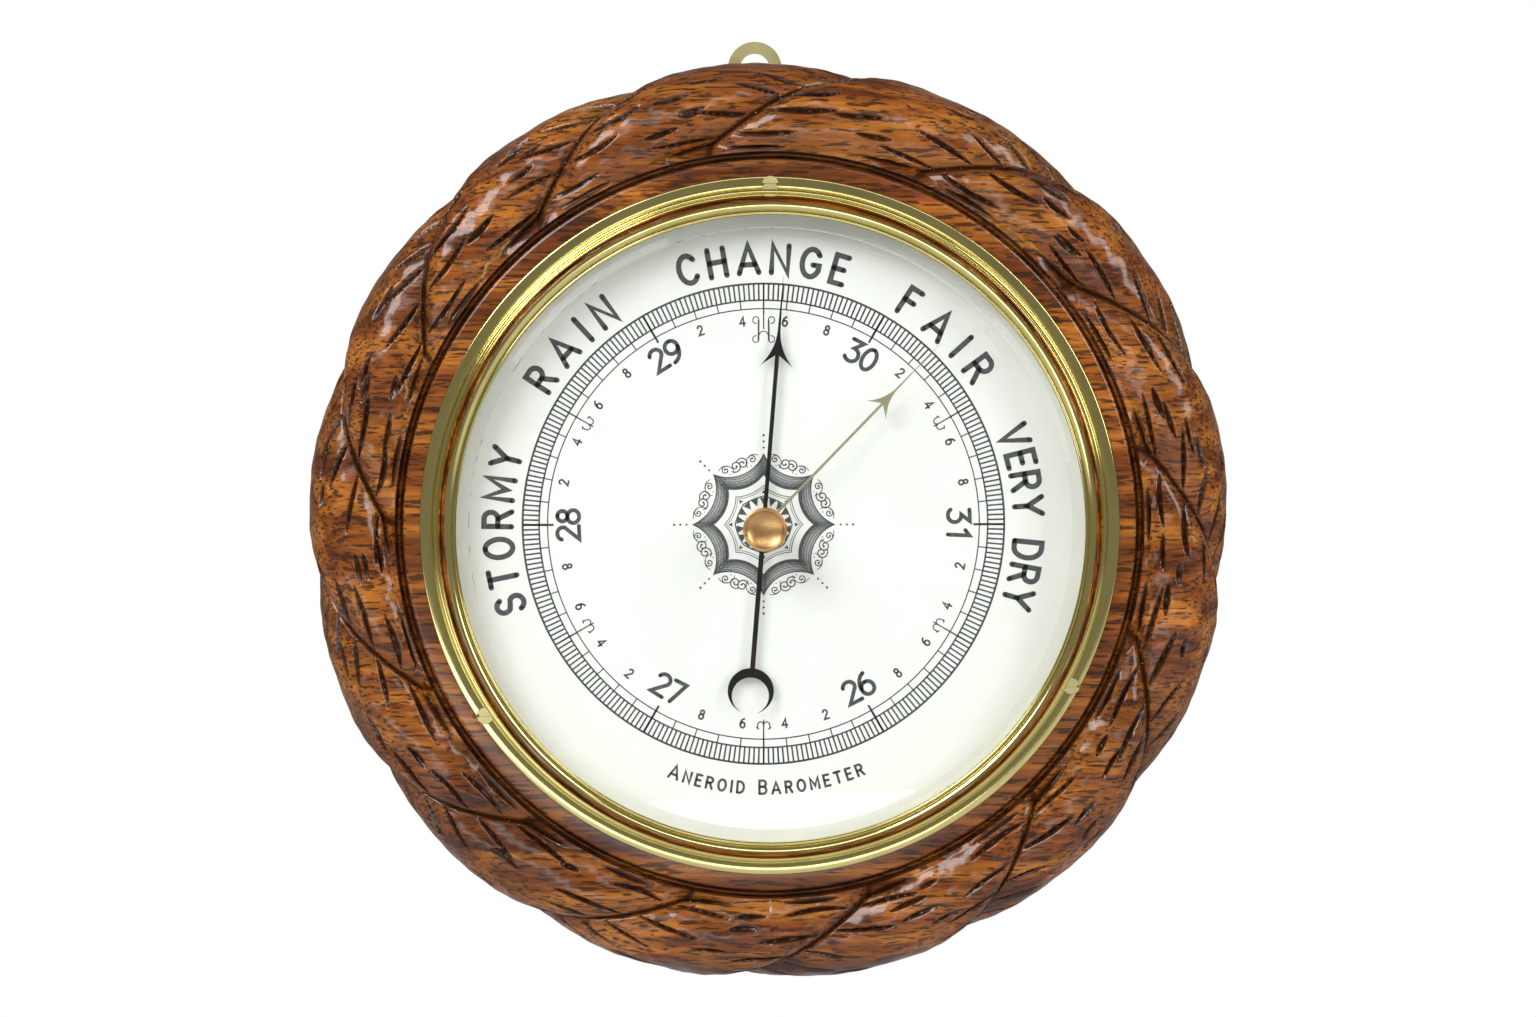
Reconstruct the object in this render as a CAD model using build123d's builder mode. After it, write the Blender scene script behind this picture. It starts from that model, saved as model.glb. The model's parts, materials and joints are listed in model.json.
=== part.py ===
from build123d import *
import math
import os

# Aneroid barometer in a carved oak surround.
# Millimetres, +Z up, dial facing -Y. The origin is on the wall, on the axis of the turned surround.
# "Depth" is the distance from the wall towards the viewer, so a point at depth d has Y = -d.

# ---- driving dimensions ----------------------------------------------------------------
# the opening of the bezel sets the size of the whole front
opening_radius = 75.8

# where the movement stands, a little off the axis of the surround, as it was fitted by hand
arbor_x = -1.6
arbor_z = 0.6

# carved surround
rope_width = 21.5
rope_half_width = 13.5
rope_depth = 17.0
valley_angles = (12, 44, 72, 99.5, 128, 157, 186, 213.5, 240, 266, 292, 317.5, 344)
valley_twist = 0.17
valley_radius = 1.9
quirk_width = 2.0
quirk_depth = 3.2
fillet_width = 4.0
rebate_depth = 1.0
back_step = 11.5

# bezel
flange_width = 4.0
flange_thickness = 1.2
moulding_width = 5.2
crest_inset = 2.7
bead_height = 0.9
bead_step = 0.3
lip_height = 0.4
crest_height = 1.4
moulding_bulge = 0.86
moulding_bulge_height = 0.62
bezel_wall = 1.6
bezel_screw_angles = (0.0, 118.0, 236.5)

# glass, and the ring and bush in it
glass_overlap = 1.8
glass_thickness = 3.0
glass_gap = 0.1
bevel_width = 4.9
bevel_drop = 2.2
ring_thickness = 0.8
ring_width = 1.4
ring_split = 3.0
washer_thickness = 0.4
nut_thickness = 1.0
nut_radius = 3.8
bush_radius = 2.4
bush_flange_width = 1.2
bush_flange_thickness = 0.5

# movement case
case_wall = 1.0
case_back = 1.0
case_clearance = 0.3
case_flange_inset = 1.0

# dial, and the space for the hands between it and the glass
dial_thickness = 1.6
dial_plate_thickness = 0.8
dial_plate_inset = 1.0
dial_hole = 3.0
dial_set_back = 0.2
hands_space = 7.2

# capsule and its post
capsule_radius = 30.0
capsule_thickness = 5.0
capsule_gap = 0.4
capsule_stud_radius = 3.0
capsule_rim = 2.0
corrugation = 0.35
corrugations = 4
boss_radius = 4.5
shoulder_width = 4.0
sheet_thickness = 0.4
socket_height = 1.6
post_radius = 1.5
post_clearance = 0.4
socket_clearance = 0.12
pin_radius = 0.8
pin_length = 12.0
pin_wall = 0.3

# base plate and bridge
base_plate_thickness = 1.6
base_plate_margin = 13.0
bridge_width = 14.0
bridge_height = 2.0
bridge_leg = 3.0
bridge_foot = 8.0
bridge_gap = 0.6
leg_gap = 3.5
bridge_z = 12.0

# main spring and its clamp
spring_width = 32.0
spring_thickness = 1.0
spring_bend = 1.8
spring_bend_z = 22.0
lower_leg_end = 8.0
upper_leg_end = 18.0
clamp_width = 7.0
clamp_thickness = 0.7
clamp_screw_x = 10.0

# main lever and link rod
lever_thickness = 0.9
lever_x = 7.0
lever_pad = 6.0
lever_pad_top = 8.0
lever_tip_width = 3.0
link_stud_radius = 0.6
link_eye_radius = 1.6
link_thickness = 0.8
link_pin_radius = 0.4

# rocking shaft, bracket and chain
rocker_gap = 10.0
rocker_arm = 2.5
chain_arm = 11.0
hand_per_rocker = 10.0
rocker_radius = 0.8
rocker_pivot_radius = 0.45
drive_arm_offset = 1.0
arm_wall = 0.7
arm_thickness = 1.0
bracket_span = 24.0
bracket_thickness = 1.0
bracket_width = 5.0
chain_thickness = 0.5
chain_slack = 0.4
link_pitch = 1.3

# arbor, barrel and hairspring
arbor_radius = 0.5
running_fit = 0.05
barrel_height = 1.2
barrel_flange = 0.25
barrel_flange_width = 0.9
collet_wall = 0.7
hairspring_gap = 0.2
hairspring_outer = 7.0
hairspring_turns = 4.5
hairspring_thickness = 0.2
hairspring_height = 0.5
stud_radius = 0.6
bar_thickness = 1.0
arbor_bridge_width = 8.0
cock_thickness = 0.9
cock_width = 5.0
cock_pillar_x = 10.0
bar_end = 2.5
end_gap = 0.3

# hands and knob
hand_angle = 4.5
hand_tip = 61.0
hand_shoulder = 47.0
hand_barb = 38.6
hand_barb_width = 8.0
hand_notch = 41.2
hand_shaft_width = 1.0
hand_height = 1.8
hand_thickness = 0.4
hand_boss_radius = 1.6
hand_eye_wall = 0.8
collet_height = 1.2
crescent_centre = 40.5
crescent_radius = 5.6
crescent_hollow = 4.5
crescent_offset = 1.18
tail_width = 1.2
arrow_neck = 0.35
arrow_hollow = 0.16
set_hand_angle = 44.0
set_hand_tip = 62.0
set_hand_shoulder = 45.7
set_hand_barb = 39.0
set_hand_barb_width = 6.6
set_hand_notch = 41.0
set_hand_shaft_width = 0.65
set_hand_drop = 2.4
set_boss_radius = 1.9
knob_radius = 5.3
knob_height = 6.4
knob_shaft_radius = 1.0
knob_dish = 1.2
knob_base = 0.6
knob_rim = 1.2
knob_edge = 0.4
knob_foot_radius = 3.3
knob_waist_radius = 3.1

# screws and pillars
bezel_screw_head = 2.0
bezel_screw_shank = 1.1
bezel_screw_length = 9.0
plate_screw_head = 2.4
plate_screw_shank = 1.2
plate_screw_length = 10.0
base_screw_head = 2.0
base_screw_shank = 1.2
dial_screw_head = 1.5
dial_screw_length = 4.0
small_screw_radius = 0.7
small_screw_depth = 4.0
small_head_radius = 1.6
small_head_height = 0.8
small_head_round = 0.15
cock_head_height = 0.6
spigot_radius = 1.2
arbor_pillar_radius = 2.0
dial_pillar_radius = 2.4
cock_pillar_radius = 1.4
adjuster_radius = 2.4
adjuster_recess = 0.3
adjuster_window = 1.0

# screw slots, as shares of the radius of the head
slot_reach = 2.2
slot_width = 0.3
slot_depth = 0.5

# hanging plate
plate_x = -3.2
plate_width = 13.2
plate_thickness = 1.3
plate_length = 16.0
plate_screw_first = 5.0
plate_screw_second = 12.0
recess_gap = 0.1
hanger_hole_radius = 3.65
hanger_hole_inset = 1.5

# ---- radii worked out from them ---------------------------------------------------------
glass_radius = opening_radius + glass_overlap
pocket_radius = glass_radius + glass_gap
bezel_bore = glass_radius + bezel_wall
moulding_crest = opening_radius + crest_inset
flange_inner = opening_radius + moulding_width
bezel_radius = flange_inner + flange_width
fillet_outer = bezel_radius + fillet_width
quirk_outer = fillet_outer + quirk_width
crest_radius = quirk_outer + rope_width
rope_centre = crest_radius - rope_half_width
back_radius = crest_radius - back_step
dial_radius = glass_radius
case_inner = dial_radius + math.hypot(arbor_x, arbor_z) + case_clearance
case_outer = case_inner + case_wall
case_flange_radius = bezel_radius - case_flange_inset
wood_bore = case_outer + case_clearance
bridge_span = 2 * (capsule_radius + leg_gap) + bridge_leg
base_plate_radius = bridge_span / 2 + bridge_foot + base_plate_margin
rocker_z = capsule_radius + rocker_gap
lever_reach = rocker_z - rocker_arm
pitch_radius = chain_arm / hand_per_rocker
barrel_radius = pitch_radius - chain_thickness / 2 - running_fit
collet_radius = arbor_radius + collet_wall
hairspring_inner = collet_radius + hairspring_gap
bush_flange_radius = bush_radius + bush_flange_width
hanger_hole_z = crest_radius - hanger_hole_inset
hanging_plate_foot = back_radius - plate_length

# ---- depths, from the wall to the knob --------------------------------------------------
base_front = case_back + base_plate_thickness
capsule_back = base_front + capsule_gap
capsule_front = capsule_back + capsule_thickness
bridge_top = capsule_front + bridge_gap + bridge_height
lower_leg = bridge_top
clamp_front = lower_leg + spring_thickness + clamp_thickness
upper_leg = lower_leg + spring_thickness + 2 * spring_bend
lever_back = upper_leg + spring_thickness
pin_depth = lever_back + pin_radius
post_top = pin_depth + pin_radius + pin_wall
arbor_bridge_back = post_top + 2 * end_gap
arbor_bridge_front = arbor_bridge_back + bar_thickness
barrel_back = arbor_bridge_front + end_gap
barrel_front = barrel_back + barrel_height
chain_depth = (barrel_back + barrel_front) / 2
rocker_depth = chain_depth - chain_arm
hairspring_back = barrel_front + end_gap
hairspring_front = hairspring_back + hairspring_height
cock_back = hairspring_front + end_gap
cock_front = cock_back + cock_thickness
dial_plate_back = cock_front + cock_head_height + 2 * end_gap
dial_back = dial_plate_back + dial_plate_thickness
dial_front = dial_back + dial_thickness
fillet_depth = dial_front + dial_set_back
quirk_floor = fillet_depth - quirk_depth
flange_front = fillet_depth + flange_thickness
hand_depth = dial_front + hand_height
arbor_tip = hand_depth + collet_height
glass_back = dial_front + hands_space
glass_front = glass_back + glass_thickness
set_hand_depth = glass_back - set_hand_drop
set_boss_back = set_hand_depth - hand_thickness
lip_front = glass_front + lip_height
bezel_top = glass_front + crest_height
bush_back = glass_back - washer_thickness - nut_thickness
bush_front = glass_front + washer_thickness + bush_flange_thickness
knob_back = bush_front + running_fit
knob_top = knob_back + knob_height
knob_round = knob_edge * (1 - math.sqrt(0.5))


# ---- how much a screw holds together ----------------------------------------------------
spring_clamp_grip = clamp_thickness + spring_thickness + bridge_height
bracket_grip = bracket_thickness + base_plate_thickness


# ---- planes and helpers ----------------------------------------------------------------
def face(depth, x=0.0, z=0.0):
    """A plane that faces the viewer at a depth: local X is +X and local Y is +Z."""
    return Plane(origin=(x, -depth, z), x_dir=(1, 0, 0), z_dir=(0, -1, 0))


def dial_face(depth):
    """The same, centred on the hand arbor."""
    return face(depth, arbor_x, arbor_z)


def back_face(depth, x=0.0, z=0.0):
    """A plane that faces the wall: local X is -X and local Y is +Z."""
    return Plane(origin=(x, -depth, z), x_dir=(-1, 0, 0), z_dir=(0, 1, 0))


def dial_back_face(depth):
    """The same, centred on the hand arbor."""
    return back_face(depth, arbor_x, arbor_z)


def profile(x=0.0, z=0.0):
    """The half plane that is turned about the depth axis: local X is radius, local Y is depth."""
    return Plane(origin=(x, 0, z), x_dir=(1, 0, 0), z_dir=(0, 0, -1))


def side(x):
    """A plane that faces +X, centred on the arbor's height: local X is depth, local Y is +Z."""
    return Plane(origin=(x, 0, arbor_z), x_dir=(0, -1, 0), z_dir=(-1, 0, 0))


def turn_axis(x=0.0, z=0.0):
    return Axis(origin=(x, 0, z), direction=(0, 1, 0))


def clockwise(radius, degrees):
    """A point of a face plane, by its angle clockwise from the top."""
    angle = math.radians(degrees)
    return (radius * math.sin(angle), radius * math.cos(angle))


def at(plane, points):
    """The locations of points on a plane."""
    return [plane.location * Location((x, y, 0)) for x, y in points]


def save(builder, name):
    builder.part.label = name
    export_step(builder.part, f"parts/{name}.step")


def countersunk_screw(head_radius, shank_radius, length, slot=True):
    """A screw along local Z: its flat head is at 0 and it goes down to -length."""
    head_depth = head_radius - shank_radius
    with BuildPart() as screw:
        with BuildSketch(Plane.XZ):
            with BuildLine():
                Polyline(
                    (0, 0),
                    (head_radius, 0),
                    (shank_radius, -head_depth),
                    (shank_radius, -length),
                    (0, -length),
                    close=True,
                )
            make_face()
        revolve(axis=Axis.Z)
        if slot:
            with Locations((0, 0, 0)):
                Box(
                    slot_reach * head_radius,
                    slot_width * head_radius,
                    slot_depth * head_radius,
                    mode=Mode.SUBTRACT,
                )
    return screw.part


def cheese_head_screw(head_radius, head_height, length):
    """A small screw along local Z: its head stands on 0 and it goes down to -length."""
    with BuildPart() as screw:
        Cylinder(small_screw_radius, length, align=(Align.CENTER, Align.CENTER, Align.MAX))
        Cylinder(head_radius, head_height, align=(Align.CENTER, Align.CENTER, Align.MIN))
        fillet(screw.edges().sort_by(Axis.Z)[-1], small_head_round)
        with Locations((0, 0, head_height)):
            Box(slot_reach * head_radius, slot_width * head_radius, head_height, mode=Mode.SUBTRACT)
    return screw.part


# ---- where the screws and pillars stand ------------------------------------------------
arbor_pillar_x = bridge_span / 2
adjuster_point = (bridge_span / 2, bridge_z)
bezel_screw_points = [clockwise(bezel_radius - flange_width / 2, angle) for angle in bezel_screw_angles]
plate_screw_points = [(-plate_x, back_radius - inset) for inset in (plate_screw_first, plate_screw_second)]
base_screw_points = [clockwise(base_plate_radius - 3 * base_screw_head, angle) for angle in (0, 120, 240)]
pillar_points = [clockwise(base_plate_radius - 2 * dial_pillar_radius, angle) for angle in (60, 180, 300)]
bridge_screw_x = (bridge_span + bridge_leg + bridge_foot) / 2
bridge_screw_points = [(-bridge_screw_x, bridge_z), (bridge_screw_x, bridge_z)]
clamp_screw_points = [(-clamp_screw_x, bridge_z), (clamp_screw_x, bridge_z)]
lever_screw_z = -(lever_pad_top + upper_leg_end) / 2
lever_screw_points = [(lever_x - lever_pad / 2, lever_screw_z), (lever_x + lever_pad / 2, lever_screw_z)]
bracket_screw_points = [(-bracket_span / 4, -rocker_z), (bracket_span / 6, -rocker_z)]
arbor_pillar_points = [(-arbor_pillar_x, 0), (arbor_pillar_x, 0)]
cock_pillar_points = [(-cock_pillar_x, 0), (cock_pillar_x, 0)]

bezel_screw_hole = countersunk_screw(bezel_screw_head, bezel_screw_shank, bezel_screw_length, slot=False)
plate_screw_hole = countersunk_screw(plate_screw_head, plate_screw_shank, plate_screw_length, slot=False)
base_screw_hole = countersunk_screw(base_screw_head, base_screw_shank, base_front, slot=False)
dial_screw_hole = countersunk_screw(dial_screw_head, small_screw_radius, dial_screw_length, slot=False)

os.makedirs("parts", exist_ok=True)


# ---- carved surround -------------------------------------------------------------------
def rope_point(around, section):
    """A point on the rope: around is clockwise from the top, section turns from outside to front."""
    radius = rope_centre + rope_half_width * math.cos(math.radians(section))
    depth = rope_depth + rope_half_width * math.sin(math.radians(section))
    x, z = clockwise(radius, around)
    return (x, -depth, z)


# one valley between two strands, from the inner edge over the front to behind the widest part
valley_sections = range(135, -50, -20)
with BuildPart() as valley:
    with BuildLine() as valley_line:
        Spline(*[rope_point(-valley_twist * section, section) for section in valley_sections])
    with BuildSketch(Plane(origin=valley_line.line @ 0, z_dir=valley_line.line % 0)):
        Circle(valley_radius)
    sweep()

with BuildPart() as carved_surround:
    with BuildSketch(profile()):
        with Locations((rope_centre, rope_depth)):
            Circle(rope_half_width)
        with Locations((wood_bore, 0)):
            Rectangle(back_radius - wood_bore, rope_depth, align=(Align.MIN, Align.MIN))
            Rectangle(fillet_outer - wood_bore, fillet_depth, align=(Align.MIN, Align.MIN))
            Rectangle(rope_centre - wood_bore, quirk_floor, align=(Align.MIN, Align.MIN))
        with Locations((fillet_outer, quirk_floor)):
            Rectangle(quirk_width, crest_radius, align=(Align.MIN, Align.MIN), mode=Mode.SUBTRACT)
        with Locations((wood_bore, fillet_depth)):
            Rectangle(
                quirk_outer - wood_bore, crest_radius, align=(Align.MIN, Align.MIN), mode=Mode.SUBTRACT
            )
        with Locations((0, fillet_depth)):
            Rectangle(
                case_flange_radius + case_clearance,
                2 * rebate_depth,
                align=(Align.MIN, Align.CENTER),
                mode=Mode.SUBTRACT,
            )
        Rectangle(wood_bore, crest_radius, align=(Align.MIN, Align.MIN), mode=Mode.SUBTRACT)
    revolve(axis=turn_axis())
    for angle in valley_angles:
        add(valley.part.rotate(turn_axis(), angle), mode=Mode.SUBTRACT)
    # the recess for the hanging plate, and the holes of all the screws in the wood
    with BuildSketch(face(0)) as plate_recess:
        with Locations((plate_x, hanging_plate_foot)):
            Rectangle(
                plate_width + 2 * recess_gap,
                crest_radius - hanging_plate_foot,
                align=(Align.CENTER, Align.MIN),
            )
    extrude(amount=plate_thickness, mode=Mode.SUBTRACT)
    with Locations(*at(back_face(0), plate_screw_points)):
        add(plate_screw_hole, mode=Mode.SUBTRACT)
    with Locations(*at(face(flange_front), bezel_screw_points)):
        add(bezel_screw_hole, mode=Mode.SUBTRACT)
save(carved_surround, "carved_surround")


# ---- hanging plate and its screws ------------------------------------------------------
with BuildPart() as hanging_plate:
    with BuildSketch(face(0)):
        with Locations((plate_x, hanger_hole_z)):
            Circle(plate_width / 2)
            Rectangle(
                plate_width,
                hanger_hole_z - hanging_plate_foot - recess_gap,
                align=(Align.CENTER, Align.MAX),
            )
            Circle(hanger_hole_radius, mode=Mode.SUBTRACT)
    extrude(amount=plate_thickness)
    with Locations(*at(back_face(0), plate_screw_points)):
        add(plate_screw_hole, mode=Mode.SUBTRACT)
save(hanging_plate, "hanging_plate")

with BuildPart() as hanging_plate_screws:
    with Locations(*at(back_face(0), plate_screw_points)):
        add(countersunk_screw(plate_screw_head, plate_screw_shank, plate_screw_length))
save(hanging_plate_screws, "hanging_plate_screws")


# ---- bezel, glass and what holds it ----------------------------------------------------
def bevel_depth(radius):
    """The depth of the glass's bevelled front at a radius."""
    return glass_front - bevel_drop * (radius - glass_radius + bevel_width) / bevel_width


with BuildPart() as bezel:
    with BuildSketch(profile()):
        with BuildLine():
            Polyline(
                (bezel_bore, fillet_depth),
                (bezel_radius, fillet_depth),
                (bezel_radius, fillet_depth + flange_thickness / 2),
                (bezel_radius - flange_thickness / 2, flange_front),
                (flange_inner, flange_front),
                (flange_inner, flange_front + bead_height),
                (flange_inner - bead_step, flange_front + bead_height),
            )
            ThreePointArc(
                (flange_inner - bead_step, flange_front + bead_height),
                (
                    moulding_crest + moulding_bulge * (flange_inner - bead_step - moulding_crest),
                    flange_front + moulding_bulge_height * (bezel_top - flange_front),
                ),
                (moulding_crest, bezel_top),
            )
            ThreePointArc(
                (moulding_crest, bezel_top),
                ((moulding_crest + opening_radius) / 2 + lip_height, (bezel_top + lip_front) / 2),
                (opening_radius + lip_height / 2, lip_front),
            )
            Polyline(
                (opening_radius + lip_height / 2, lip_front),
                (opening_radius, lip_front - lip_height / 2),
                (opening_radius, bevel_depth(opening_radius) + glass_gap),
                (pocket_radius, bevel_depth(pocket_radius) + glass_gap),
                (pocket_radius, glass_back - ring_thickness),
                (bezel_bore, glass_back - ring_thickness),
                (bezel_bore, fillet_depth),
            )
        make_face()
    revolve(axis=turn_axis())
    with Locations(*at(face(flange_front), bezel_screw_points)):
        add(bezel_screw_hole, mode=Mode.SUBTRACT)
save(bezel, "bezel")

with BuildPart() as bezel_screws:
    with Locations(*at(face(flange_front), bezel_screw_points)):
        add(countersunk_screw(bezel_screw_head, bezel_screw_shank, bezel_screw_length))
save(bezel_screws, "bezel_screws")

with BuildPart() as bevelled_glass:
    with BuildSketch(profile()):
        Polygon(
            (0, glass_back),
            (glass_radius, glass_back),
            (glass_radius, glass_front - bevel_drop),
            (glass_radius - bevel_width, glass_front),
            (0, glass_front),
            align=None,
        )
    revolve(axis=turn_axis())
    with BuildSketch(dial_face(glass_back)):
        Circle(bush_radius + glass_gap)
    extrude(amount=glass_thickness, mode=Mode.SUBTRACT)
save(bevelled_glass, "bevelled_glass")

with BuildPart() as glass_retaining_ring:
    with BuildSketch(face(glass_back - ring_thickness)):
        Circle(pocket_radius)
        Circle(pocket_radius - ring_width, mode=Mode.SUBTRACT)
        with Locations((0, -pocket_radius)):
            Rectangle(ring_split, 3 * ring_width, mode=Mode.SUBTRACT)
    extrude(amount=ring_thickness)
save(glass_retaining_ring, "glass_retaining_ring")

with BuildPart() as glass_washers:
    with BuildSketch(dial_face(glass_back - washer_thickness), dial_face(glass_front)):
        Circle(bush_flange_radius)
        Circle(bush_radius, mode=Mode.SUBTRACT)
    extrude(amount=washer_thickness)
save(glass_washers, "glass_washers")

with BuildPart() as glass_bush:
    with BuildSketch(dial_face(bush_back)):
        Circle(bush_radius)
    extrude(amount=bush_front - bush_back)
    with BuildSketch(dial_face(glass_front + washer_thickness)):
        Circle(bush_flange_radius)
    extrude(amount=bush_flange_thickness)
    chamfer(glass_bush.edges().group_by(Axis.Y)[0], bush_flange_thickness / 3)
    with BuildSketch(dial_face(bush_back)):
        Circle(knob_shaft_radius + running_fit)
    extrude(amount=knob_top, mode=Mode.SUBTRACT)
save(glass_bush, "glass_bush")

with BuildPart() as glass_bush_nut:
    with BuildSketch(dial_face(bush_back)):
        RegularPolygon(nut_radius, 6)
        Circle(bush_radius, mode=Mode.SUBTRACT)
    extrude(amount=nut_thickness)
save(glass_bush_nut, "glass_bush_nut")


# ---- movement case ---------------------------------------------------------------------
with BuildPart() as movement_case:
    with BuildSketch(profile()):
        Polygon(
            (0, 0),
            (case_outer, 0),
            (case_outer, fillet_depth - rebate_depth),
            (case_flange_radius, fillet_depth - rebate_depth),
            (case_flange_radius, fillet_depth),
            (case_inner, fillet_depth),
            (case_inner, case_back),
            (0, case_back),
            align=None,
        )
    revolve(axis=turn_axis())
    with BuildSketch(dial_face(0)):
        with Locations(adjuster_point):
            Circle(adjuster_radius + adjuster_window)
    extrude(amount=case_back, mode=Mode.SUBTRACT)
    with Locations(*at(dial_back_face(0), base_screw_points)):
        add(base_screw_hole, mode=Mode.SUBTRACT)
    with Locations(*at(face(flange_front), bezel_screw_points)):
        add(bezel_screw_hole, mode=Mode.SUBTRACT)
save(movement_case, "movement_case")


# ---- base plate, its screws, the adjusting screw ---------------------------------------
with BuildPart() as base_plate:
    with BuildSketch(dial_face(case_back)):
        Circle(base_plate_radius)
        Circle(capsule_stud_radius, mode=Mode.SUBTRACT)
        with Locations(adjuster_point):
            Circle(adjuster_radius + running_fit, mode=Mode.SUBTRACT)
        with Locations(*pillar_points, *arbor_pillar_points):
            Circle(spigot_radius, mode=Mode.SUBTRACT)
        with Locations(*bridge_screw_points, *bracket_screw_points):
            Circle(small_screw_radius, mode=Mode.SUBTRACT)
    extrude(amount=base_plate_thickness)
    with Locations(*at(dial_back_face(0), base_screw_points)):
        add(base_screw_hole, mode=Mode.SUBTRACT)
save(base_plate, "base_plate")

with BuildPart() as base_plate_screws:
    with Locations(*at(dial_back_face(0), base_screw_points)):
        add(countersunk_screw(base_screw_head, base_screw_shank, base_front))
save(base_plate_screws, "base_plate_screws")

with BuildPart() as adjusting_screw:
    with BuildSketch(dial_face(adjuster_recess)):
        with Locations(adjuster_point):
            Circle(adjuster_radius)
    extrude(amount=base_front - adjuster_recess - running_fit)
    with BuildSketch(dial_face(adjuster_recess)):
        with Locations(adjuster_point):
            Rectangle(slot_reach * adjuster_radius, slot_width * adjuster_radius)
    extrude(amount=adjuster_recess, mode=Mode.SUBTRACT)
save(adjusting_screw, "adjusting_screw")


# ---- vacuum capsule --------------------------------------------------------------------
def diaphragm(outwards):
    """One corrugated half of the capsule, its rim on the middle plane and its face outwards (1 or -1)."""
    middle = (capsule_back + capsule_front) / 2
    crown = capsule_thickness / 2 - corrugation

    def place(radius, height):
        return (radius, middle + outwards * height)

    def waves(height):
        """Points a quarter wave apart from the boss to the shoulder."""
        steps = 4 * corrugations
        points = []
        for step in range(steps + 1):
            radius = boss_radius + (capsule_radius - shoulder_width - boss_radius) * step / steps
            points.append(place(radius, height + corrugation * math.sin(step * math.pi / 2)))
        return points

    outer = waves(crown)
    inner = waves(crown - sheet_thickness)
    with BuildPart() as half:
        with BuildSketch(profile(arbor_x, arbor_z)):
            with BuildLine():
                Spline(*outer)
                Polyline(
                    outer[-1],
                    place(capsule_radius - capsule_rim, sheet_thickness),
                    place(capsule_radius, sheet_thickness),
                    place(capsule_radius, 0),
                    place(capsule_radius - capsule_rim - sheet_thickness / 2, 0),
                    inner[-1],
                )
                Spline(*inner)
                Polyline(inner[0], (0, inner[0][1]), (0, outer[0][1]), outer[0])
            make_face()
        revolve(axis=turn_axis(arbor_x, arbor_z))
    return half


capsule_front_half = diaphragm(1)
socket_back = capsule_front - corrugation - sheet_thickness
with BuildPart() as capsule_front_diaphragm:
    add(capsule_front_half.part)
    with BuildSketch(dial_face(socket_back)):
        Circle(capsule_stud_radius)
    extrude(amount=sheet_thickness + socket_height)
    with BuildSketch(dial_face(capsule_front - corrugation)):
        Circle(post_radius + socket_clearance)
    extrude(amount=2 * socket_height, mode=Mode.SUBTRACT)
save(capsule_front_diaphragm, "capsule_front_diaphragm")

capsule_back_half = diaphragm(-1)
with BuildPart() as capsule_back_diaphragm:
    add(capsule_back_half.part)
    with BuildSketch(dial_face(case_back)):
        Circle(capsule_stud_radius)
    extrude(amount=capsule_back + corrugation + sheet_thickness - case_back)
save(capsule_back_diaphragm, "capsule_back_diaphragm")

with BuildPart() as capsule_post:
    with BuildSketch(dial_face(capsule_front - corrugation + post_clearance)):
        Circle(post_radius)
    extrude(amount=post_top - capsule_front + corrugation - post_clearance)
    with BuildSketch(Plane.YZ.offset(arbor_x)):
        with Locations((-pin_depth, arbor_z)):
            Circle(pin_radius)
    extrude(amount=2 * post_radius, both=True, mode=Mode.SUBTRACT)
save(capsule_post, "capsule_post")

with BuildPart() as knife_edge_pin:
    with BuildSketch(Plane.YZ.offset(arbor_x)):
        with Locations((-pin_depth, arbor_z)):
            Circle(pin_radius)
    extrude(amount=pin_length / 2, both=True)
save(knife_edge_pin, "knife_edge_pin")


# ---- bridge over the capsule -----------------------------------------------------------
with BuildPart() as bridge:
    with BuildSketch(Plane(origin=(arbor_x, 0, arbor_z + bridge_z), x_dir=(1, 0, 0), z_dir=(0, 0, -1))):
        with Locations((0, bridge_top)):
            Rectangle(bridge_span + bridge_leg, bridge_height, align=(Align.CENTER, Align.MAX))
        for left_or_right in (-1, 1):
            with Locations((left_or_right * bridge_span / 2, base_front)):
                Rectangle(bridge_leg, bridge_top - base_front, align=(Align.CENTER, Align.MIN))
            with Locations((left_or_right * (bridge_span + bridge_foot) / 2, base_front)):
                Rectangle(bridge_foot, bridge_height, align=(Align.CENTER, Align.MIN))
    extrude(amount=bridge_width / 2, both=True)
    with BuildSketch(dial_face(base_front)):
        with Locations(*bridge_screw_points, *clamp_screw_points):
            Circle(small_screw_radius)
    extrude(amount=bridge_top, mode=Mode.SUBTRACT)
save(bridge, "bridge")

with BuildPart() as bridge_screws:
    with Locations(*at(dial_face(base_front + bridge_height), bridge_screw_points)):
        add(cheese_head_screw(small_head_radius, small_head_height, bridge_height + base_plate_thickness))
save(bridge_screws, "bridge_screws")


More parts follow.
